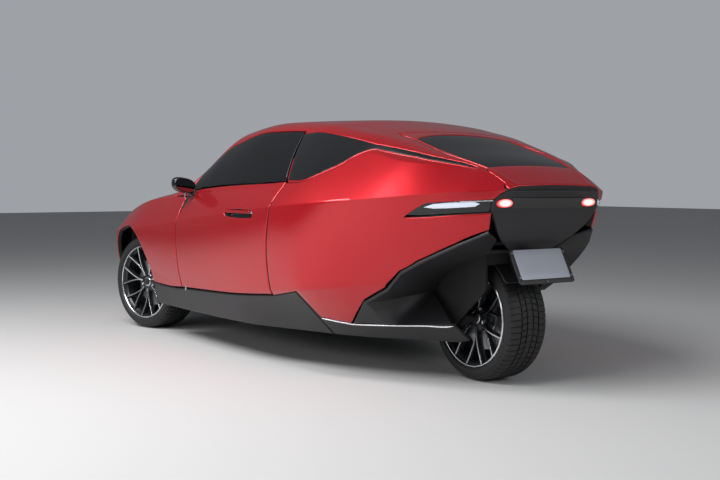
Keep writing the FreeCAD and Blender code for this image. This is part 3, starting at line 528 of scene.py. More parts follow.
edge = on_body(nose_edge)
face_left = [(-y, z) for _, y, z in edge]
face_loop = face_left + [(-u, v) for u, v in face_left[-2::-1]]
INTAKE = [(-0.36, 0.27), (-0.40, 0.40), (-0.30, 0.445), (0.30, 0.445), (0.40, 0.40), (0.36, 0.27)]
face = panel("nose_face", face_loop, 0.02, paint, [INTAKE], inner=lining_and_shade, form=on_nose)
own(face, "car", "paint")
intake = [(u * 1.03, 0.355 + (v - 0.355) * 1.1) for u, v in INTAKE]
own(panel("intake_back", intake, 0.01, black_satin, lift=-0.045, form=on_nose), "car", "black_plastic")
SLATS, SLAT_PITCH, SLAT_HIGH, SLAT_HALF = 4, 0.037, 0.009, 0.385
for k in range(SLATS):
    low = 0.30 + SLAT_PITCH * k
    slat = [(-SLAT_HALF, low), (SLAT_HALF, low), (SLAT_HALF, low + SLAT_HIGH), (-SLAT_HALF, low + SLAT_HIGH)]
    blade = panel(f"intake_slat_{k}", slat, 0.03, black_gloss, lift=-0.008, form=on_nose, step=0.05)
    own(blade, "car", "black_plastic")

# ---- Tail face -----------------------------------------------------------------------------------
# A gloss black panel closes the tail between the two quarters, under the lip and down to the plate.
TAIL_FACE = [(-474, 950), (-446, 935), (-424, 905), (-412, 850), (-397, 800), (-350, 725), (-290, 640)]
tail_z = np.array([z for _, z in reversed(TAIL_FACE)]) / 1000
tail_line = np.array([x for x, _ in reversed(TAIL_FACE)]) / 1000


def on_tail(points):
    """The raked tail face, for map points of (y, z)."""
    u, v = np.asarray(points, float).T
    return np.stack([np.interp(v, tail_z, tail_line) + REAR_AXLE, u, v], 1)


def tail_half_width(z):
    """How far out the tail face meets the quarter panel at height z."""
    x = float(np.interp(z, tail_z, tail_line))
    column_z = [float(np.interp(x, grid_x, grid_z[j])) for j in range(3 * STRIP)]
    column_y = [float(np.interp(x, grid_x, grid_y[j])) for j in range(3 * STRIP)]
    return float(np.interp(z, np.maximum.accumulate(column_z), column_y))


tail_left = [(0.135, 0.668), (0.17, 0.69), (0.215, 0.72), (0.25, 0.75), (0.282, 0.785), (0.302, 0.815)]
tail_left += [(tail_half_width(z) - 0.004, z) for z in (0.86, 0.90, 0.93, 0.945)]
tail_loop = tail_left + [(-u, v) for u, v in reversed(tail_left)]
tail = panel("tail_face", tail_loop, 0.02, black_satin, roll=0.003, step=0.02, inner=lining_and_shade, form=on_tail)
own(tail, "car", "black_plastic", "tail_fascia")
BAND = [(0.225, 0.868), (0.225, 0.918), (-0.225, 0.918), (-0.225, 0.868)]
band = panel("tail_band", BAND, 0.012, black_gloss, roll=0.002, lift=0.004, step=0.02, form=on_tail)
own(band, "car", "black_plastic")

# ---- Tail lamps ----------------------------------------------------------------------------------
# A black recess runs forward from each corner of the tail. It holds a slim pale light bar, and at its end
# an oval lamp glows white at its heart and red round its rim.
recess_zone = [(-432, 922), (-205, 904), (-104, 826), (-402, 838)]
recess = panel("lamp_recess_left", from_side(recess_zone), 0.004, black_gloss, lift=-0.02, step=0.02)
own_both(recess, "car", "black_plastic")
light_bar = surface("pale_lens", (0.62, 0.66, 0.74), rough=0.12, coat=1.0, scale=120, spread=0.05,
                    depth=0.0, Emission_Color=(0.75, 0.82, 1.0, 1), Emission_Strength=0.35)
BAR_LENS = [(-205, 872), (-240, 888), (-300, 895), (-372, 899), (-386, 889), (-370, 876), (-300, 869),
            (-240, 866)]
lens = panel("light_bar_left", from_side(BAR_LENS), 0.014, light_bar, roll=0.005, lift=-0.004, step=0.012)
own_both(lens, "car", "tail_lamp")
THREAD = [(-330, 903), (-424, 908), (-424, 903), (-330, 899)]
thread = panel("light_thread_left", from_side(THREAD), 0.01, bright, roll=0.001, lift=-0.002, step=0.01)
own_both(thread, "car", "tail_lamp")

LAMP_Y, LAMP_Z, LAMP_WIDE, LAMP_HIGH = 0.262, 0.893, 0.047, 0.0195
lamp_glow = surface("lamp_glow", (0.5, 0.01, 0.012), rough=0.1, coat=1.0, depth=0.0)
glow = lamp_glow.node_tree
glow_at = add_node(glow, "ShaderNodeTexCoord")
glow_axes = add_node(glow, "ShaderNodeSeparateXYZ", [("Vector", glow_at.outputs["Object"])])
out_y = add_node(glow, "ShaderNodeMath", [(0, glow_axes.outputs["Y"])], operation="ABSOLUTE")
from_y = add_node(glow, "ShaderNodeMath", [(0, out_y.outputs[0]), (1, LAMP_Y)], operation="SUBTRACT")
flat_y = add_node(glow, "ShaderNodeMath", [(0, from_y.outputs[0]), (1, 0.42)], operation="MULTIPLY")
from_z = add_node(glow, "ShaderNodeMath", [(0, glow_axes.outputs["Z"]), (1, LAMP_Z)], operation="SUBTRACT")
from_heart = add_node(glow, "ShaderNodeCombineXYZ", [("X", flat_y.outputs[0]), ("Y", from_z.outputs[0])])
heart_reach = add_node(glow, "ShaderNodeVectorMath", [(0, from_heart.outputs[0])], operation="LENGTH")
fade = add_node(glow, "ShaderNodeMapRange", [("Value", heart_reach.outputs["Value"]), ("From Min", 0.008),
                                             ("From Max", 0.019)])
heat = add_node(glow, "ShaderNodeValToRGB", [("Fac", fade.outputs[0])])
heat.color_ramp.elements[0].color = (1.0, 0.86, 0.80, 1)
heat.color_ramp.elements[1].color = (0.62, 0.01, 0.012, 1)
glow.links.new(heat.outputs["Color"], glow.nodes["Principled BSDF"].inputs["Emission Color"])
glow.nodes["Principled BSDF"].inputs["Emission Strength"].default_value = 1.6


def oval(cu, cv, a, b, power=2.4, count=36):
    """A softly squared oval outline."""
    turns = np.arange(count) / count * 2 * math.pi
    bend = 2 / power
    return [(cu + a * math.copysign(abs(p) ** bend, p), cv + b * math.copysign(abs(q) ** bend, q))
            for p, q in zip(np.cos(turns), np.sin(turns))]


lamp_oval = oval(LAMP_Y, LAMP_Z, LAMP_WIDE, LAMP_HIGH)
tail_lamp = panel("tail_lamp_left", lamp_oval, 0.02, lamp_glow, roll=0.006, lift=0.006, step=0.008,
                  form=on_tail)
own_both(tail_lamp, "car", "tail_lamp", "tail_lamps")

# ---- Sills and rear fairings ---------------------------------------------------------------------
# Satin black sills run back from the front arch. Behind them a winged fairing sweeps in to the rear hub,
# and a dark shelf tucks in from the red quarter's lower edge to the wheel well.
SKIRT = [(2356, 343), (1794, 343), (794, 393), (565, 433)]
skirt_loop = from_side(SKIRT) + [(0.565, 0.0), (2.356, 0.0)]
skirt = panel("sill_left", skirt_loop, 0.022, black_satin, roll=0.005, inner=lining_and_shade)
own_both(skirt, "car", "black_plastic", "skirts")
FOLD = [(-68, 293), (60, 285), (200, 276), (400, 270)]
fairing_loop = from_side([(558, 432), (551, 436), (545, 296)] + FOLD[::-1])
fairing_loop += [(-0.085, 0.0), (0.2, 0.0), (0.558, 0.0)]
fairing = panel("fairing_left", fairing_loop, 0.02, black_satin, roll=0.005, inner=lining_and_shade)
own_both(fairing, "car", "black_plastic", "rear_fairings")

# where the fairing's side face and shelf meet: forward under the red flap, and behind at the well
fold_points = on_body(from_side(FOLD)) + [0, 0, 0.001]
FLAP = on_body(from_side([(233, 409)]))[0]
WELL_CORNER = np.array([0.193 + REAR_AXLE, 0.20, 0.447])
ridge = np.array([fold_points[0] + [0.0, 0.0, 0.004], WELL_CORNER, FLAP, fold_points[-1] + [0, 0, 0.004]])


def on_fairing_side(points):
    """The leaning side face between the fold and the ridge, for map points of (x, z)."""
    u, v = np.asarray(points, float).T
    x = u + REAR_AXLE
    low_y, low_z = [np.interp(x, fold_points[:, 0], fold_points[:, k]) for k in (1, 2)]
    top_y, top_z = [np.interp(x, ridge[:, 0], ridge[:, k]) for k in (1, 2)]
    share = np.clip((v - low_z) / np.maximum(top_z - low_z, 0.004), -0.2, 1.2)
    return np.stack([x, low_y + (top_y - low_y) * share, v], 1)


side_loop = [(x - REAR_AXLE, z) for x, _, z in [*fold_points, *ridge[::-1][1:3]]]
fairing_side = panel("fairing_side_left", side_loop, 0.016, black_satin, roll=0.005, step=0.018,
                     form=on_fairing_side)
own_both(fairing_side, "car", "black_plastic")


def between(outer_line, inner_line, width):
    """A ruled form between two lines of matching points, and its outline: (length along, width across)."""
    gone = np.concatenate([[0], np.cumsum(np.linalg.norm(np.diff(outer_line, axis=0), axis=1))])

    def form(points):
        """The point between the two lines at each (length along, width across)."""
        u, v = np.asarray(points, float).T
        a = np.stack([np.interp(u, gone, outer_line[:, k]) for k in range(3)], 1)
        b = np.stack([np.interp(u, gone, inner_line[:, k]) for k in range(3)], 1)
        return a + (b - a) * (v / width)[:, None]
    return form, [(0.0, 0.0), (gone[-1], 0.0), (gone[-1], width), (0.0, width)]


SHELF_OUT = [(-385, 768), (-268, 704), (-190, 662), (-111, 620), (-17, 567), (87, 480), (233, 408)]
SHELF_IN = [(-330, 235, 735), (-248, 205, 675), (-151, 200, 640), (-48, 200, 609), (56, 200, 570)]
SHELF_IN += [(160, 200, 498), (193, 200, 447)]
shelf_outer = on_body(from_side(SHELF_OUT))
shelf_inner = np.array(SHELF_IN) / 1000 + [REAR_AXLE, 0, 0]
on_shelf, shelf_loop = between(shelf_outer, shelf_inner, 0.3)
shelf = panel("fairing_shelf_left", shelf_loop, 0.016, black_satin, roll=0.005, step=0.02, form=on_shelf)
own_both(shelf, "car", "black_plastic")
under_left = shelf_inner[1:5] + [0, 0, -0.002]
on_belly, belly_loop = between(under_left, under_left * [1, -1, 1], 0.4)
belly = panel("tail_underside", belly_loop, 0.01, lining_and_shade, roll=0.002, step=0.03, form=on_belly)
own(belly, "car", "black_plastic")


def face_outwards(obj):
    """Turns every face of a closed mesh outwards."""
    work = bmesh.new()
    work.from_mesh(obj.data)
    bmesh.ops.remove_doubles(work, verts=work.verts, dist=1e-6)
    bmesh.ops.recalc_face_normals(work, faces=work.faces)
    work.to_mesh(obj.data)
    work.free()
    return obj


def loft(name, rings, material, angle=40.0):
    """A closed skin through rings of matching points, with flat ends."""
    m = len(rings[0])
    verts = [p for ring in rings for p in ring]
    faces = [(k * m + i, k * m + (i + 1) % m, (k + 1) * m + (i + 1) % m, (k + 1) * m + i)
             for k in range(len(rings) - 1) for i in range(m)]
    faces += [tuple(range(m))[::-1], tuple(range(len(verts) - m, len(verts)))]
    return face_outwards(new_mesh(name, verts, faces, material, angle))


def strip(name, path, width, height, material):
    """A slim raised strip laid along a path on the body."""
    fine_path = []
    for a, b in zip(path, path[1:]):
        fine_path += walk([a, b], 0.02)[:math.ceil(math.dist(a, b) / 0.02)]
    path = fine_path + path[-1:]
    p, n = on_body(path), normals(on_body, path)
    t = np.gradient(p, axis=0)
    across = np.cross(t, n)
    across /= np.linalg.norm(across, axis=1)[:, None]
    shape = [(-0.5, -0.3), (-0.5, 0.35), (-0.32, 0.85), (0, 1.0), (0.32, 0.85), (0.5, 0.35), (0.5, -0.3)]
    rings = []
    for k in range(len(p)):
        end = 0.35 if k in (0, len(p) - 1) else 1.0
        rings.append([p[k] + across[k] * a * width * end + n[k] * b * height * end for a, b in shape])
    return loft(name, rings, material, angle=60)


fold = strip("fold_strip_left", from_side([(548, 291), (400, 269), (200, 275), (60, 284), (-66, 292)]),
             0.008, 0.004, bright)
own_both(fold, "car", "steel")

# ---- Glass ---------------------------------------------------------------------------------------
# Dark tinted glass all round, flush with the pressings. The quarter windows are opaque gloss black, and a
# slim dark strip closes the rear edge of each door's glass.
glass = surface("tinted_glass", (0.006, 0.007, 0.008), rough=0.02, depth=0.0, spread=0.0, scale=40,
                Transmission_Weight=0.24, IOR=1.45)
screen = panel("windscreen_glass", both_sides(screen_left), 0.006, glass, roll=0.0015)
own(screen, "car", "glass", "windscreen")
DOOR_GLASS = [(672, 997), (1862, 939), (1866, 1066)] + CANT[1:]
window = panel("door_glass_left_pane", from_side(DOOR_GLASS), 0.006, glass, roll=0.0015)
own_both(window, "door_left", "glass", "door_glass_left")
rear_side = panel("quarter_glass_left", side_glass, 0.006, black_gloss, roll=0.0015)
own_both(rear_side, "car", "glass", "quarter_windows")
rear_pane = panel("rear_window_pane", both_sides(rear_glass), 0.006, glass, roll=0.0015, lift=-0.002)
own(rear_pane, "hatch", "glass", "hatch_glass")
edge_trim = surface("dark_trim", (0.10, 0.10, 0.11), metallic=0.7, rough=0.35)
GLASS_EDGE = [(682, 1010), (745, 1120), (816, 1248)]
edge_strip = strip("door_glass_edge_left", from_side(GLASS_EDGE), 0.005, 0.003, edge_trim)
own_both(edge_strip, "door_left", "steel")

# ---- Head lamps ----------------------------------------------------------------------------------
# Clear covers over black bowls, flush with the nose. Three projectors stand in each bowl, and each is a domed
# lens in a bright ring.
clear = surface("clear_cover", (0.8, 0.82, 0.85), rough=0.03, depth=0.0, spread=0.0,
                Transmission_Weight=0.95, IOR=1.2)
bowl = panel("head_bowl_left", head_lamp, 0.004, black_gloss, roll=0.001, lift=-0.026, step=0.02)
own_both(bowl, "car", "head_lamp")
cover = panel("head_cover_left", head_lamp, 0.003, clear, roll=0.001, lift=-0.001, step=0.02)
own_both(cover, "car", "head_lamp", "head_lamps")
lens_glass = surface("projector_lens", (0.55, 0.58, 0.64), metallic=0.4, rough=0.08, coat=1.0, scale=50,
                     depth=0.0)
for k, (x, z) in enumerate([(3255, 696), (3330, 672), (3400, 646)]):
    u, v = from_side([(x, z)])[0]
    ring = panel(f"lamp_ring_{k}_left", oval(u, v, 0.024, 0.019, 2.0, 32), 0.018, bright,
                 [oval(u, v, 0.0195, 0.0150, 2.0, 32)], roll=0.003, lift=-0.010, step=0.01)
    eye = panel(f"lamp_eye_{k}_left", oval(u, v, 0.0185, 0.0140, 2.0, 32), 0.016, lens_glass,
                roll=0.007, lift=-0.009, step=0.005)
    for piece in (ring, eye):
        own_both(piece, "car", "head_lamp")

# ---- Wheels --------------------------------------------------------------------------------------
# Seven pairs of slim spokes fan out from the hub to a narrow lip. Their faces and the lip are machined
# bright, with dark flanks, pockets and barrel behind. A domed cap and five nuts sit in the hub.
def lathe(name, profile, material, count):
    """A (radius, y) profile turned about the y axis, closed on itself or at radius 0."""
    turns = np.arange(count) / count * 2 * math.pi
    verts, faces = [], []
    rings = []
    for r, y in profile:
        if r < 1e-6:
            rings.append([len(verts)] * count)
            verts.append((0.0, y, 0.0))
        else:
            rings.append(list(range(len(verts), len(verts) + count)))
            verts += [(r * math.cos(t), y, r * math.sin(t)) for t in turns]
    closed = profile[0][0] > 1e-6
    for a, b in zip(rings, rings[1:] + (rings[:1] if closed else [])):
        for i in range(count):
            j = (i + 1) % count
            ring = [a[i], a[j], b[j], b[i]]
            face = [v for k, v in enumerate(ring) if v != ring[k - 1]]
            if len(face) > 2:
                faces.append(face)
    return face_outwards(new_mesh(name, verts, faces, material, 35))


def sweep(name, paths, shape, material):
    """A closed (across, out) shape carried along paths of (centre, across, out) frames, with flat ends."""
    verts, faces, m = [], [], len(shape)
    for path in paths:
        first = len(verts)
        for centre, across, out, scale in path:
            wide, up = np.asarray(across) * scale, np.asarray(out)
            verts += [np.asarray(centre) + wide * a + up * b for a, b in shape]
        for k in range(len(path) - 1):
            for i in range(m):
                j = (i + 1) % m
                row = first + k * m
                faces.append((row + i, row + j, row + m + j, row + m + i))
        faces += [tuple(range(first, first + m))[::-1], tuple(range(len(verts) - m, len(verts)))]
    return face_outwards(new_mesh(name, verts, faces, material, 35))


# a ring of copies about the y axis
ring_tree = bpy.data.node_groups.new("ring_of_copies", "GeometryNodeTree")
ring_tree.interface.new_socket(name="Geometry", in_out="INPUT", socket_type="NodeSocketGeometry")
for label, kind in (("Piece", "NodeSocketObject"), ("Count", "NodeSocketInt"), ("Start", "NodeSocketFloat"),
                    ("Material", "NodeSocketMaterial")):
    ring_tree.interface.new_socket(name=label, in_out="INPUT", socket_type=kind)
ring_tree.interface.new_socket(name="Geometry", in_out="OUTPUT", socket_type="NodeSocketGeometry")
ring_in = ring_tree.nodes.new("NodeGroupInput")
seats_line = add_node(ring_tree, "GeometryNodeMeshLine", [("Count", ring_in.outputs["Count"])])
seats_line.inputs["Offset"].default_value = (0, 0, 0)
turn_step = add_node(ring_tree, "ShaderNodeMath", [(0, 2 * math.pi), (1, ring_in.outputs["Count"])],
                     operation="DIVIDE")
copy_index = ring_tree.nodes.new("GeometryNodeInputIndex")
turn_of = add_node(ring_tree, "ShaderNodeMath", [(0, copy_index.outputs[0]), (1, turn_step.outputs[0]),
                                                 (2, ring_in.outputs["Start"])], operation="MULTIPLY_ADD")
turned = add_node(ring_tree, "ShaderNodeCombineXYZ", [("Y", turn_of.outputs[0])])
piece_in = add_node(ring_tree, "GeometryNodeObjectInfo", [("Object", ring_in.outputs["Piece"])])
copies = add_node(ring_tree, "GeometryNodeInstanceOnPoints", [("Points", seats_line.outputs[0]),
                                                              ("Instance", piece_in.outputs["Geometry"]),
                                                              ("Rotation", turned.outputs[0])])
real = add_node(ring_tree, "GeometryNodeRealizeInstances", [("Geometry", copies.outputs[0])])
dressed = add_node(ring_tree, "GeometryNodeSetMaterial", [("Geometry", real.outputs[0]),
                                                          ("Material", ring_in.outputs["Material"])])
ring_tree.links.new(dressed.outputs[0], ring_tree.nodes.new("NodeGroupOutput").inputs[0])


def evaluated_mesh(obj):
    """The mesh that an object's modifiers make of it."""
    return bpy.data.meshes.new_from_object(obj.evaluated_get(bpy.context.evaluated_depsgraph_get()))


def around(name, piece, count, material, start=0.0):
    """The piece repeated in a ring about the y axis, as one plain mesh."""
    holder = new_mesh(name, [(0, 0, 0)], [])
    use = holder.modifiers.new("ring", "NODES")
    use.node_group = ring_tree
    inputs = [item for item in ring_tree.interface.items_tree if item.in_out == "INPUT"]
    sockets = {item.name: item.identifier for item in inputs}
    for label, value in (("Piece", piece), ("Count", count), ("Start", start), ("Material", material)):
        use[sockets[label]] = value
    mesh = evaluated_mesh(holder)
    holder.modifiers.remove(use)
    holder.data = mesh
    bpy.data.objects.remove(piece)
    mesh.set_sharp_from_angle(angle=math.radians(35))
    return holder


rim_dark = surface("rim_dark", (0.028, 0.030, 0.034), metallic=0.6, rough=0.34, coat=0.3, scale=1800,
                   depth=0.00001)
machined = surface("machined_face", (0.78, 0.79, 0.81), metallic=1.0, rough=0.20, scale=60, spread=0.08,
                   depth=0.0)
disc_steel = surface("turned_steel", (0.42, 0.42, 0.43), metallic=1.0, rough=0.33, scale=90, spread=0.12,
                     depth=0.0)
cast_dark = surface("caliper_paint", (0.05, 0.05, 0.055), metallic=0.3, rough=0.45, scale=500)
SPOKES, SPOKE_START, ARM_LEAN = 7, math.radians(7.4), math.radians(13.5)
NUTS, NUT_CIRCLE, NUT_START = 5, 0.0572, 0.3
ARM_FROM, ARM_TO, FORK_AT, ARM_STEPS = 0.050, 0.238, 0.085, 12
# turned profiles of (radius, distance out from the wheel's middle)
BARREL = [(0.2462, 0.1130), (0.2440, 0.1145), (0.2400, 0.1145), (0.2375, 0.1120), (0.2345, 0.1000)]
BARREL += [(0.2200, 0.0860), (0.2150, 0.0600), (0.2120, 0.0), (0.2120, -0.09), (0.2300, -0.1030)]
BARREL += [(0.2400, -0.1130), (0.2462, -0.1130), (0.2462, -0.1050), (0.2300, -0.0980), (0.2280, -0.06)]
BARREL += [(0.2200, 0.0), (0.2280, 0.06), (0.2300, 0.0980), (0.2462, 0.1050)]
LIP = [(0.2466, 0.1128), (0.2440, 0.1149), (0.2396, 0.1149), (0.2371, 0.1122), (0.2385, 0.1095)]
LIP += [(0.2450, 0.1100)]
HUB = [(0.0, 0.022), (0.070, 0.022), (0.074, 0.030), (0.074, 0.066), (0.070, 0.074), (0.044, 0.079)]
HUB += [(0.036, 0.080), (0.034, 0.076), (0.0, 0.076)]
CAP_TOP = [(0.0, 0.074), (0.0325, 0.074), (0.0330, 0.0805), (0.0310, 0.0830), (0.0270, 0.0836)]
CAP_TOP += [(0.0255, 0.0826), (0.0, 0.0838)]
NUT = [(0.0, 0.070), (0.0105, 0.070), (0.0105, 0.0795), (0.0088, 0.0830), (0.0062, 0.0836)]
NUT += [(0.0055, 0.0790), (0.0, 0.0790)]
# an arm's section in half widths across and metres out, with the bright face that lies on it
ARM = [(-0.5, 0.0), (-0.44, 0.0006), (0.44, 0.0006), (0.5, 0.0), (1.15, -0.011), (1.0, -0.030)]
ARM += [(0.6, -0.036), (-0.6, -0.036), (-1.0, -0.030), (-1.15, -0.011)]
FACE = [(-0.42, 0.0), (0.42, 0.0), (0.44, 0.0011), (0.40, 0.0015), (-0.40, 0.0015), (-0.44, 0.0011)]


def arm_path(side):
    """Frames along one arm of a pair, from the hub to the lip."""
    centres = []
    for u in np.linspace(0, 1, ARM_STEPS + 1):
        r = ARM_FROM + (ARM_TO - ARM_FROM) * u
        opened = max(0.0, (r - FORK_AT) / (ARM_TO - FORK_AT))
        lean = side * (ARM_LEAN * (1 - (1 - opened) ** 1.25) + 0.0026 / r)
        centres.append((r * math.cos(lean), 0.082 + 0.0255 * u ** 1.2, r * math.sin(lean)))
    frames = []
    for k, centre in enumerate(centres):
        along = np.subtract(centres[min(k + 1, ARM_STEPS)], centres[max(k - 1, 0)])
        across = np.cross([0, 1, 0], along)
        half_wide = 0.0068 + 0.0016 * k / ARM_STEPS
        frames.append((centre, across / np.linalg.norm(across), (0, 1, 0), half_wide))
    return frames


arms = sweep("arms", [arm_path(1), arm_path(-1)], ARM, rim_dark)
faces_of_arms = sweep("arm_faces", [arm_path(1), arm_path(-1)], FACE, machined)
nut = lathe("nut", NUT, cast_dark, 24)
nut.data.transform(Matrix.Translation((NUT_CIRCLE, 0, 0)))
wheel_pieces = [
    (lathe("barrel", BARREL, rim_dark, 128), "wheel", "wheel"),
    (lathe("lip", LIP, machined, 160), "wheel", ""),
    (lathe("hub", HUB, rim_dark, 72), "wheel", ""),
    (lathe("cap", CAP_TOP, machined, 64), "wheel", ""),
    (around("spokes", arms, SPOKES, rim_dark, -SPOKE_START), "wheel", ""),
    (around("spoke_faces", faces_of_arms, SPOKES, machined, -SPOKE_START), "wheel", ""),
    (around("nuts", nut, NUTS, machined, NUT_START), "wheel", ""),
]

# ---- Brakes --------------------------------------------------------------------------------------
# A vented, grooved steel disc stands behind each wheel. At the front a dark cast caliper with two bosses
# grips it on its trailing side.
DISC = [(0.0221, 0.0), (0.080, 0.0), (0.086, -0.006), (0.1645, -0.006), (0.165, -0.0055), (0.165, 0.002)]
DISC += [(0.158, 0.003), (0.158, 0.011), (0.165, 0.012), (0.165, 0.0195), (0.1645, 0.020), (0.094, 0.020)]
DISC += [(0.086, 0.0185), (0.084, 0.0195), (0.070, 0.0195), (0.0221, 0.0195)]
# The grooves are not cut into the disc: thin dark strips laid on its face are painted shade in place of their
# depth.
SLOTS = 18
slot_path = []
for u in np.linspace(0, 1, 9):
    slot_path.append(((0.102 + 0.05 * u, 0.0202, 0.012 * math.sin(3 * u)), (0, 0, 1), (0, 1, 0), 0.0022))
slot_shape = [(-0.5, -0.0006), (-0.5, 0.0004), (0.5, 0.0004), (0.5, -0.0006)]
slot = sweep("slot", [slot_path], slot_shape, lining_and_shade)
brake_pieces = [
    (lathe("disc", DISC, disc_steel, 128), "steel", "brake_disc"),
    (around("disc_slots", slot, SLOTS, lining_and_shade), "steel", ""),
]
grip = []
for turn in np.radians(np.linspace(160.5, 199.5, 14)):
    grip.append(((0, 0, 0), (math.cos(turn), 0, math.sin(turn)), (0, 1, 0), 1.0))
GRIP = [(0.100, 0.0375), (0.104, 0.0390), (0.168, 0.0390), (0.177, 0.0330), (0.1785, 0.024)]
GRIP += [(0.1785, -0.028), (0.174, -0.0385), (0.104, -0.0385), (0.100, -0.0370), (0.100, -0.0115)]
GRIP += [(0.1685, -0.0100), (0.1685, 0.0235), (0.100, 0.0250)]
caliper = sweep("caliper", [grip], GRIP, cast_dark)
boss = lathe("boss", [(0.0, 0.030), (0.0150, 0.030), (0.0150, 0.0405), (0.0130, 0.0425), (0.0, 0.0425)],
             cast_dark, 32)
BOSS_CIRCLE = 0.137
bosses = []
for turn in np.radians([168, 192]):
    copy = boss.data.copy()
    copy.transform(Matrix.Translation((BOSS_CIRCLE * math.cos(turn), 0, BOSS_CIRCLE * math.sin(turn))))
    bosses.append(copy)
bpy.data.objects.remove(boss)

# ---- Tyres ---------------------------------------------------------------------------------------
# Low road tyres: a plain rounded sidewall with two fine ribs, and a tread of a centre rib, two rows of
# slanted blocks and two shoulder rows whose slots run down over the shoulder.
rubber = surface("tyre_rubber", (0.013, 0.013, 0.014), rough=0.62, scale=700, spread=0.12, depth=0.0001)
HALF_TYRE = [(0.3072, 0.0), (0.3070, 0.050), (0.3060, 0.080), (0.3010, 0.101), (0.2950, 0.1095)]
HALF_TYRE += [(0.2880, 0.1165), (0.2820, 0.1196), (0.2810, 0.1208), (0.2795, 0.1208), (0.2785, 0.1214)]
HALF_TYRE += [(0.2700, 0.1222), (0.2600, 0.1218), (0.2590, 0.1226), (0.2575, 0.1226), (0.2565, 0.1212)]
HALF_TYRE += [(0.2520, 0.1180), (0.2480, 0.1120), (0.2468, 0.1045), (0.2300, 0.0990)]
TYRE = [(r, -y) for r, y in reversed(HALF_TYRE[1:])] + HALF_TYRE
CROWN_Y = [0.0, 0.050, 0.082, 0.100, 0.108, 0.1135]
CROWN_R = [0.3150, 0.3147, 0.3125, 0.3075, 0.3025, 0.2975]
PITCHES = 64


def tread_blocks(name, blocks):
    """Raised blocks for one pitch of tread. A block is (turn start, turn end, y start, y end, slant)."""
    pitch = 2 * math.pi / PITCHES
    verts, faces = [], []
    for t0, t1, y0, y1, slant in blocks:
        cols, rows = 3, max(2, int(abs(y1 - y0) / 0.008))
        edge, first = 0.0009, len(verts)
        for level, inset in ((-0.0085, 0.0), (-0.0008, 0.0), (0.0, edge)):
            for i in range(rows + 1):
                for k in range(cols + 1):
                    y = y0 + (y1 - y0) * i / rows
                    turn = (t0 + (t1 - t0) * k / cols) * pitch + slant * (y - y0)
                    y += inset * ((i == 0) - (i == rows)) * (1 if y1 > y0 else -1)
                    turn += inset / 0.31 * ((k == 0) - (k == cols))
                    r = float(np.interp(abs(y), CROWN_Y, CROWN_R)) + level
                    verts.append((r * math.cos(turn), y, r * math.sin(turn)))
        wide, size = cols + 1, (cols + 1) * (rows + 1)
        loop = list(range(wide)) + [i * wide + cols for i in range(1, rows + 1)]
        loop += [rows * wide + k for k in range(cols - 1, -1, -1)]
        loop += [i * wide for i in range(rows - 1, 0, -1)]
        for level in (0, 1):
            for a, b in zip(loop, loop[1:] + loop[:1]):
                low = first + level * size
                faces.append((low + a, low + b, low + size + b, low + size + a))
        for i in range(rows):
            for k in range(cols):
                a = first + i * wide + k
                faces.append((a, a + wide, a + wide + 1, a + 1))
                a += 2 * size
                faces.append((a, a + 1, a + wide + 1, a + wide))
    return face_outwards(new_mesh(name, verts, faces, rubber, 30))


TREAD = [(0.0, 0.93, -0.0155, 0.0155, 0.0)]
TREAD += [(0.04, 0.84, way * 0.0215, way * 0.0490, way * 1.1) for way in (1, -1)]
TREAD += [(0.40, 1.28, way * 0.0560, way * 0.1125, way * 0.35) for way in (1, -1)]
tread = around("tread", tread_blocks("pitch", TREAD), PITCHES, rubber)
tyre_pieces = [(lathe("carcass", TYRE, rubber, 160), "tyre", "tyre"), (tread, "tyre", "")]

# Each corner of the car: its name, its turning body, and the steered upright that carries its caliper
CORNERS = [("front_left", "wheel_left", "steer_left"), ("front_right", "wheel_right", "steer_right"),
           ("rear", "wheel_rear", None)]
PIN_OUT, PIN_TO_WHEEL = 0.6, 0.072
PARKED_STEER, RIGHT_WHEEL_TURN = math.radians(15.8), math.radians(20.0)
for corner, body, upright in CORNERS:
    side = -1 if corner == "front_right" else 1
    if corner == "rear":
        place_at = Matrix.Translation((REAR_AXLE, 0, AXLE_UP))
    else:
        pin = Matrix.Translation((REAR_AXLE + WHEELBASE, side * PIN_OUT, AXLE_UP))
        steered = Matrix.Rotation(PARKED_STEER, 4, "Z")
        place_at = pin @ steered @ Matrix.Translation((0, side * PIN_TO_WHEEL, 0))
    flip = Matrix.Diagonal((1, side, 1, 1))
    turned_by = Matrix.Rotation(RIGHT_WHEEL_TURN, 4, "Y") if side < 0 else Matrix.Identity(4)
    for piece, slot_name, node in wheel_pieces + brake_pieces + tyre_pieces:
        mesh = piece.data.copy()
        mesh.transform(place_at @ flip @ turned_by)
        if side < 0:
            mesh.flip_normals()
        made = bpy.data.objects.new(f"{piece.name}_{corner}", mesh)
        bpy.context.scene.collection.objects.link(made)
        own(made, body, slot_name, *([f"{node}_{corner}"] if node else []))
    for k, data in enumerate([caliper.data] + bosses if upright else []):
        mesh = data.copy()
        mesh.transform(place_at @ flip)
        if side < 0:
            mesh.flip_normals()
        made = bpy.data.objects.new(f"caliper_part_{k}_{corner}", mesh)
        bpy.context.scene.collection.objects.link(made)
        own(made, upright, "caliper", *([f"caliper_{corner}"] if k == 0 else []))
for piece, _, _ in wheel_pieces + brake_pieces + tyre_pieces + [(caliper, "", "")]:
    bpy.data.objects.remove(piece)

# ---- Mirrors -------------------------------------------------------------------------------------
# A gloss black pod on a short stalk at each door's front corner, with the glass facing back. A black wedge
# runs down from its foot along the door's front edge.
POD = (1.782 + REAR_AXLE, 0.872, 0.972)
POD_RISE = 0.18
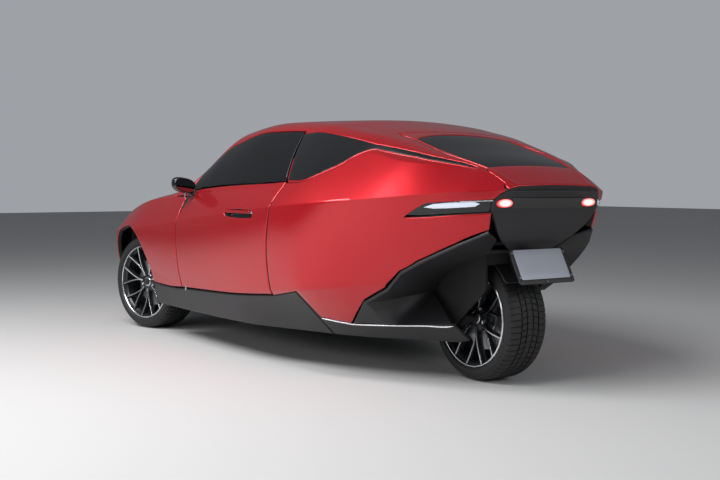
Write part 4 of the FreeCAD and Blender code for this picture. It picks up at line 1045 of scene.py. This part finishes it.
# (distance ahead of the pod's middle, share of its full height and width)
POD_SECTIONS = [(-0.024, 0.80), (-0.029, 0.83), (-0.030, 0.86), (-0.027, 0.90), (-0.018, 0.945), (0.0, 0.985)]
POD_SECTIONS += [(0.015, 0.955), (0.028, 0.82), (0.037, 0.62), (0.043, 0.38), (0.0455, 0.12)]
pod_rings = []
for ahead, grow in POD_SECTIONS:
    ring = oval(0.0, 0.0, 0.074 * grow, 0.047 * grow, 2.7, 48)
    middle_y = POD[1] + 0.02 * (0.03 + ahead)
    pod_rings.append([(POD[0] + ahead, middle_y + y, POD[2] + z + POD_RISE * y) for y, z in ring])
pod = loft("mirror_pod_left", pod_rings, black_gloss)
pod_glass = surface("mirror_glass", (0.32, 0.34, 0.37), metallic=1.0, rough=0.03, scale=30, spread=0.01,
                    depth=0.0)
glass_rings = []
for ahead in (-0.0262, -0.0235):
    ring = oval(0.0, 0.0, 0.058, 0.0365, 2.7, 48)
    glass_rings.append([(POD[0] + ahead, POD[1] + y, POD[2] + z + POD_RISE * y) for y, z in ring])
pod_face = loft("mirror_face_left", glass_rings, pod_glass)
stalk_rings = []
for t in np.linspace(0, 1, 7):
    ring = oval(0.0, 0.0, 0.030 - 0.010 * t, 0.016 - 0.004 * t, 2.4, 32)
    root = (1.784 + REAR_AXLE, 0.812 + 0.048 * t, 0.905 + 0.036 * t)
    stalk_rings.append([(root[0] + x, root[1] + y, root[2]) for x, y in ring])
stalk = loft("mirror_stalk_left", stalk_rings, black_gloss)
WEDGE = [(1873, 926), (1808, 930), (1820, 900), (1838, 862), (1858, 822), (1873, 792)]
wedge = panel("mirror_foot_left", from_side(WEDGE), 0.006, black_gloss, roll=0.002, lift=0.0015, step=0.012)
for piece, finish in ((pod, "black_plastic"), (pod_face, "glass"), (stalk, "black_plastic"),
                      (wedge, "black_plastic")):
    own_both(piece, "door_left", finish, *(["door_mirror_left"] if piece in (pod, stalk) else []))

# ---- Rear mudguard and number plate --------------------------------------------------------------
# A short black guard close over the back of the rear tyre carries an arm with the plate's holder. The blank
# plate is pressed metal with rounded corners, leaning back under the tail. Five screws show in the holder.
GUARD_R, GUARD_MAP_R = 0.3375, 0.33


def on_guard(points):
    """The guard's round outer face, for map points of (minus y, length up its arc from level behind)."""
    u, v = np.asarray(points, float).T
    up = v / GUARD_MAP_R
    return np.stack([REAR_AXLE - GUARD_R * np.cos(up), -u, AXLE_UP + GUARD_R * np.sin(up)], 1)


GUARD = [(-0.131, 0.214), (-0.118, 0.200), (0.118, 0.200), (0.131, 0.214), (0.131, 0.405), (-0.131, 0.405)]
guard = panel("rear_guard", GUARD, 0.0065, black_satin, roll=0.0025, step=0.02, form=on_guard)
own(guard, "car", "black_plastic", "rear_mudguard")
ARM_SIDE = [(-0.205, 0.632), (-0.214, 0.580), (-0.262, 0.534), (-0.385, 0.588), (-0.392, 0.602)]


def beam(name, outline, y0, y1, bevel, material):
    """A bar with a side-view outline of (x, z), bevelled along its edges."""
    work = bmesh.new()
    ring = [work.verts.new((x + REAR_AXLE, y0, z)) for x, z in outline]
    face = work.faces.new(ring)
    top = bmesh.ops.extrude_face_region(work, geom=[face])
    bmesh.ops.translate(work, verts=[v for v in top["geom"] if isinstance(v, bmesh.types.BMVert)],
                        vec=(0, y1 - y0, 0))
    bmesh.ops.recalc_face_normals(work, faces=work.faces)
    bmesh.ops.bevel(work, geom=list(work.edges), offset=bevel, segments=3, affect="EDGES", profile=0.5)
    mesh = bpy.data.meshes.new(name)
    work.to_mesh(mesh)
    work.free()
    mesh.shade_smooth()
    mesh.set_sharp_from_angle(angle=math.radians(40))
    mesh.materials.append(material)
    obj = bpy.data.objects.new(name, mesh)
    bpy.context.scene.collection.objects.link(obj)
    return obj


arm = beam("plate_arm", ARM_SIDE, -0.048, 0.048, 0.005, black_satin)
own(arm, "car", "black_plastic", "rear_mudguard")
PLATE_TILT = math.radians(28.4)
PLATE_TOP = (-0.352, 0.672)


def on_plate(points):
    """The plate's plane, for map points of (y, distance up from its top edge)."""
    u, v = np.asarray(points, float).T
    x = PLATE_TOP[0] + REAR_AXLE + v * math.sin(PLATE_TILT)
    return np.stack([x, u, PLATE_TOP[1] + v * math.cos(PLATE_TILT)], 1)


def rounded(u0, v0, u1, v1, r):
    """A rectangle's outline with rounded corners."""
    out = []
    for cu, cv, start in ((u1 - r, v1 - r, 0), (u0 + r, v1 - r, 90), (u0 + r, v0 + r, 180),
                          (u1 - r, v0 + r, 270)):
        turns = np.radians(start + np.arange(0, 91, 15))
        out += [(cu + r * math.cos(t), cv + r * math.sin(t)) for t in turns]
    return out


plate_metal = surface("plate_metal", (0.44, 0.47, 0.54), metallic=0.25, rough=0.38, scale=500, spread=0.1,
                      depth=0.00003)
PLATE = rounded(-0.1525, -0.152, 0.1525, 0.0, 0.008)
BORDER = rounded(-0.1475, -0.147, 0.1475, -0.005, 0.006)
BORDER_HOLE = rounded(-0.1445, -0.144, 0.1445, -0.008, 0.005)
HOLDER = rounded(-0.176, -0.174, 0.170, 0.006, 0.014)
SCREWS = [(-0.164, -0.014), (0.160, -0.014), (0.0, -0.163), (-0.164, -0.140), (0.160, -0.140)]
SCREW_R = 0.0052
plate = panel("plate_face", PLATE, 0.0025, plate_metal, roll=0.001, lift=0.0005, step=0.03, form=on_plate)
own(plate, "car", "plate", "number_plate")
border = panel("plate_border", BORDER, 0.0012, plate_metal, [BORDER_HOLE], roll=0.0006, lift=0.0014,
               step=0.03, form=on_plate)
own(border, "car", "plate")
holder = panel("plate_holder", HOLDER, 0.009, black_satin, roll=0.003, lift=-0.003, step=0.03,
               form=on_plate)
own(holder, "car", "black_plastic")
screw_metal = surface("screw_metal", (0.30, 0.30, 0.31), metallic=1.0, rough=0.3, scale=200)
for k, (u, v) in enumerate(SCREWS):
    head = panel(f"holder_screw_{k}", oval(u, v, SCREW_R, SCREW_R, 2.0, 20), 0.006, screw_metal,
                 roll=0.0015, lift=0.0012, step=0.003, form=on_plate)
    own(head, "car", "steel")

# ---- Seats ---------------------------------------------------------------------------------------
# Two bucket seats and a small bench, all in black leather: a crowned centre pad with sewn channels between
# firm side bolsters, and a head rest on the front seats.
leather = surface("seat_leather", (0.020, 0.020, 0.022), rough=0.48, scale=420, spread=0.14, depth=0.0004)
SEAM_DEPTH, SEAM_WIDTH = 0.007, 0.013
BLOW_FRAMES = 14


def blow_up(obj, cap):
    """Meshes a pad evenly and lets cloth under pressure fill it. No point moves further than cap."""
    even = obj.modifiers.new("even", "REMESH")
    even.mode = "VOXEL"
    even.voxel_size = 0.006
    mesh = evaluated_mesh(obj)
    obj.modifiers.remove(even)
    obj.data = mesh
    rest = np.array([v.co for v in mesh.vertices])
    cloth = obj.modifiers.new("stuffing", "CLOTH")
    cloth.settings.use_pressure = True
    cloth.settings.uniform_pressure_force = 4.0
    cloth.settings.effector_weights.gravity = 0.0
    cloth.settings.quality = 4
    cloth.point_cache.frame_start = 1
    cloth.point_cache.frame_end = BLOW_FRAMES
    for frame_number in range(1, BLOW_FRAMES + 1):
        bpy.context.scene.frame_set(frame_number)
    blown = evaluated_mesh(obj)
    obj.modifiers.remove(cloth)
    bpy.context.scene.frame_set(1)
    shift = np.array([v.co for v in blown.vertices]) - rest
    far = np.linalg.norm(shift, axis=1)
    moved = rest + shift * np.minimum(1.0, cap / np.maximum(far, 1e-9))[:, None]
    blown.vertices.foreach_set("co", moved.ravel())
    obj.data = blown


def sew(obj, centre, along, share, y, half_width, half_thick, channels):
    """Pulls seams across the outer side of a pad, evenly spread along its centre line."""
    spot = np.array([v.co for v in obj.data.vertices])
    x, z = spot[:, 0] - REAR_AXLE, spot[:, 2]
    gap = (x[:, None] - centre[:, 0]) ** 2 + (z[:, None] - centre[:, 1]) ** 2
    near = np.argmin(gap, axis=1)
    up = (x - centre[near, 0]) * -along[near, 1] + (z - centre[near, 1]) * along[near, 0]
    inner = np.clip(1 - ((spot[:, 1] - y) / half_width) ** 6, 0, 1) * (up > half_thick * 0.3)
    dent = np.zeros(len(spot))
    for k in range(channels):
        from_seam = share[near] - (k + 1) / (channels + 1)
        dent += SEAM_DEPTH * np.exp(-(from_seam / SEAM_WIDTH) ** 2)
    dent *= inner
    spot[:, 0] += along[near, 1] * dent
    spot[:, 2] -= along[near, 0] * dent
    obj.data.vertices.foreach_set("co", spot.ravel())
    obj.data.shade_smooth()


def pad(name, path, half_width, half_thick, y, channels=0, cap=0.022, round_power=5.0):
    """A stuffed pad along a side-view path of (x, z), blown up by cloth and sewn across in channels."""
    path = np.array(path, float)
    gone = np.concatenate([[0], np.cumsum(np.linalg.norm(np.diff(path, axis=0), axis=1))])
    t = gone[-1] * (0.5 - 0.5 * np.cos(np.linspace(0.02, math.pi - 0.02, 40)))
    centre = np.stack([np.interp(t, gone, path[:, k]) for k in (0, 1)], 1)
    along = np.gradient(centre, axis=0)
    along /= np.linalg.norm(along, axis=1)[:, None]
    share = t / gone[-1]
    rings = []
    for (cx, cz), (ax, az), u in zip(centre, along, share):
        end = (1 - abs(2 * u - 1) ** 7) ** (1 / 7)
        ring = oval(0.0, 0.0, half_width * (0.25 + 0.75 * end), half_thick * end, round_power, 40)
        rings.append([(cx + REAR_AXLE - az * b, y + a, cz + ax * b) for a, b in ring])
    obj = loft(name, rings, leather)
    blow_up(obj, cap)
    sew(obj, centre, along, share, y, half_width, half_thick, channels)
    return obj


def leather_pad(name, node, path, half_width, half_thick, y, fill=0.85, **more):
    """A pad with its right-hand twin where it stands off the middle."""
    made = [pad(name, path, half_width, half_thick, y, **more)]
    if y:
        made.append(mirrored(made[0], name + "_right"))
    for obj in made:
        own(obj, "car", "seat", node)


SEAT_PATH = [(1.485, 0.508), (1.36, 0.512), (1.16, 0.484), (1.02, 0.474)]
BACK_PATH = [(1.035, 0.500), (0.985, 0.640), (0.905, 0.830), (0.822, 1.010)]
leather_pad("seat_cushion", "front_seats", SEAT_PATH, 0.150, 0.044, 0.35, channels=3)
leather_pad("seat_back", "front_seats", BACK_PATH, 0.135, 0.040, 0.35, channels=4)
SIDE_SEAT = [(1.480, 0.520), (1.30, 0.526), (1.08, 0.506)]
SIDE_BACK = [(1.030, 0.540), (0.985, 0.680), (0.915, 0.860), (0.850, 0.985)]
for edge_y, label in ((0.155, "inner"), (0.545, "outer")):
    leather_pad(f"seat_bolster_{label}", "front_seats", SIDE_SEAT, 0.030, 0.052, edge_y, cap=0.014,
                round_power=3.0)
    leather_pad(f"back_bolster_{label}", "front_seats", SIDE_BACK, 0.030, 0.052, edge_y, cap=0.014,
                round_power=3.0)
leather_pad("head_rest", "front_seats", [(0.783, 1.058), (0.768, 1.110), (0.757, 1.170)], 0.088, 0.030,
            0.35, cap=0.014)
leather_pad("bench_cushion", "rear_seat", [(0.715, 0.498), (0.60, 0.506), (0.50, 0.498)], 0.385, 0.040, 0.0,
            channels=1)
leather_pad("bench_back", "rear_seat", [(0.455, 0.560), (0.385, 0.700), (0.300, 0.880)], 0.385, 0.034, 0.0,
            channels=3)
BASE_SIDE = [(1.425, 0.336), (1.02, 0.336), (0.955, 0.430), (0.99, 0.445), (1.20, 0.440), (1.47, 0.462)]
BASE_SIDE += [(1.475, 0.445)]
SHELL_SIDE = [(0.985, 0.450), (0.905, 0.450), (0.800, 0.760), (0.742, 1.020), (0.772, 1.030)]
SHELL_SIDE += [(0.850, 0.800), (0.930, 0.620)]
POST_SIDE = [(0.782, 1.000), (0.792, 1.003), (0.775, 1.075), (0.765, 1.073)]
for y, label in ((0.35, "left"), (-0.35, "right")):
    base = beam(f"seat_base_{label}", BASE_SIDE, y - 0.17, y + 0.17, 0.006, black_satin)
    own(base, "car", "cabin_trim", "front_seats")
    shell = beam(f"seat_shell_{label}", SHELL_SIDE, y - 0.19, y + 0.19, 0.006, black_satin)
    own(shell, "car", "cabin_trim", "front_seats")
    for post_y in (y - 0.045, y + 0.045):
        post = beam(f"rest_post_{label}", POST_SIDE, post_y - 0.005, post_y + 0.005, 0.002, bright)
        own(post, "car", "steel")
BENCH_SIDE = [(0.705, 0.430), (0.405, 0.430), (0.405, 0.520), (0.345, 0.700), (0.250, 0.890)]
BENCH_SIDE += [(0.275, 0.895), (0.42, 0.545), (0.47, 0.465), (0.70, 0.460)]
bench = beam("bench_base", BENCH_SIDE, -0.40, 0.40, 0.006, black_satin)
own(bench, "car", "cabin_trim", "rear_seat")

# ---- Cabin and running gear ----------------------------------------------------------------------
# The solids that keep their own shape wear their real finish: grained trim, dark carpet in the tub, cast
# casings, black chassis paint. A hooded display and a centre screen stand on the dashboard.
trim = surface("cabin_trim", (0.022, 0.022, 0.024), rough=0.62, scale=650, spread=0.1, depth=0.0004)
carpet = surface("cabin_carpet", (0.016, 0.016, 0.018), rough=0.92, scale=260, spread=0.06, depth=0.0012)
cast = surface("cast_casing", (0.40, 0.40, 0.42), metallic=0.9, rough=0.48, scale=240, spread=0.16,
               depth=0.0006)
chassis = surface("chassis_paint", (0.022, 0.022, 0.024), metallic=0.2, rough=0.46, coat=0.2, scale=420,
                  spread=0.14)
moulded = surface("moulded_liner", (0.015, 0.015, 0.016), rough=0.80, scale=180, spread=0.12, depth=0.0009)
pin_steel = surface("pin_steel", (0.50, 0.50, 0.51), metallic=1.0, rough=0.28, scale=160, spread=0.1,
                    depth=0.0)
FINISHES = [
    (trim, ("dashboard", "steering_wheel")), (carpet, ("floor_tub", "boot_floor", "cowl")),
    (cast, ("battery_pack", "drive_motor")), (moulded, ("arch_liners", "rear_wheelhouse")),
    (pin_steel, ("door_hinge_pins",)),
    (chassis, ("front_subframe", "wishbones", "rear_swingarm", "knuckle_front_left",
               "knuckle_front_right")),
]
for finish, nodes in FINISHES:
    for node in nodes:
        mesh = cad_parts[node].data
        if not mesh.materials:
            mesh.materials.append(finish)
        for material_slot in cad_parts[node].material_slots:
            material_slot.material = finish
display = surface("display_glass", (0.008, 0.010, 0.014), rough=0.06, coat=1.0, scale=40, spread=0.02,
                  depth=0.0)
HOOD_SIDE = [(1.600, 0.822), (1.640, 0.868), (1.700, 0.874), (1.735, 0.852), (1.700, 0.838)]
own(beam("display_hood", HOOD_SIDE, 0.235, 0.485, 0.006, trim), "car", "cabin_trim")
SCREEN_SIDE = [(1.588, 0.800), (1.578, 0.800), (1.612, 0.905), (1.622, 0.905)]
own(beam("centre_screen", SCREEN_SIDE, -0.125, 0.125, 0.003, display), "car", "glass")

# ---- Stage, light and camera ---------------------------------------------------------------------
# A plain pale floor under soft studio light, seen from low behind the car's left rear corner.
bpy.ops.mesh.primitive_plane_add(size=60, location=(0, 0, 0))
floor = bpy.context.object
floor.name = "studio_floor"
floor.data.materials.append(surface("pale_floor", (0.62, 0.62, 0.62), rough=0.75))
world = bpy.data.worlds.new("studio_world")
bpy.context.scene.world = world
world.use_nodes = True
sky = world.node_tree.nodes["Background"]
seen = add_node(world.node_tree, "ShaderNodeLightPath")
level = add_node(world.node_tree, "ShaderNodeMapRange", [("Value", seen.outputs["Is Camera Ray"]),
                                                         ("To Min", 0.17), ("To Max", 0.42)])
sky.inputs["Color"].default_value = (0.82, 0.86, 0.92, 1)
world.node_tree.links.new(level.outputs[0], sky.inputs["Strength"])


def soft_light(name, place, aim, size, power):
    """A large rectangular lamp that faces the point it is aimed at."""
    data = bpy.data.lights.new(name, "AREA")
    data.shape = "RECTANGLE"
    data.size, data.size_y = size
    data.energy = power
    lamp = bpy.data.objects.new(name, data)
    lamp.location = place
    lamp.rotation_euler = (Vector(aim) - Vector(place)).to_track_quat("-Z", "Y").to_euler()
    bpy.context.scene.collection.objects.link(lamp)
    return lamp


soft_light("overhead", (-0.5, 4.0, 4.2), (0, 0, 0.5), (6.0, 1.8), 270)
hip_strip = soft_light("hip_strip", (-1.1, 2.3, 4.4), (-1.1, 2.3, 0), (2.0, 0.7), 70)
hip_strip.rotation_euler = (0, 0, math.radians(25))
soft_light("side_bank", (-1.5, 6.5, 2.2), (0, 0, 0.6), (6.0, 1.2), 90)
soft_light("rear_bank", (-6.5, -2.0, 2.6), (-1, 0, 0.7), (3.5, 1.6), 70)
camera_data = bpy.data.cameras.new("camera")
camera_data.lens = 51.68
camera_data.sensor_width = 36
camera = bpy.data.objects.new("camera", camera_data)
camera.location = (-5.5296, 3.3631, 0.9819)
yaw, pitch = math.radians(-33.0), math.radians(-3.12)
view = Vector((math.cos(yaw) * math.cos(pitch), math.sin(yaw) * math.cos(pitch), math.sin(pitch)))
camera.rotation_euler = view.to_track_quat("-Z", "Y").to_euler()
bpy.context.scene.collection.objects.link(camera)
bpy.context.scene.camera = camera
bpy.context.scene.view_settings.view_transform = "Standard"
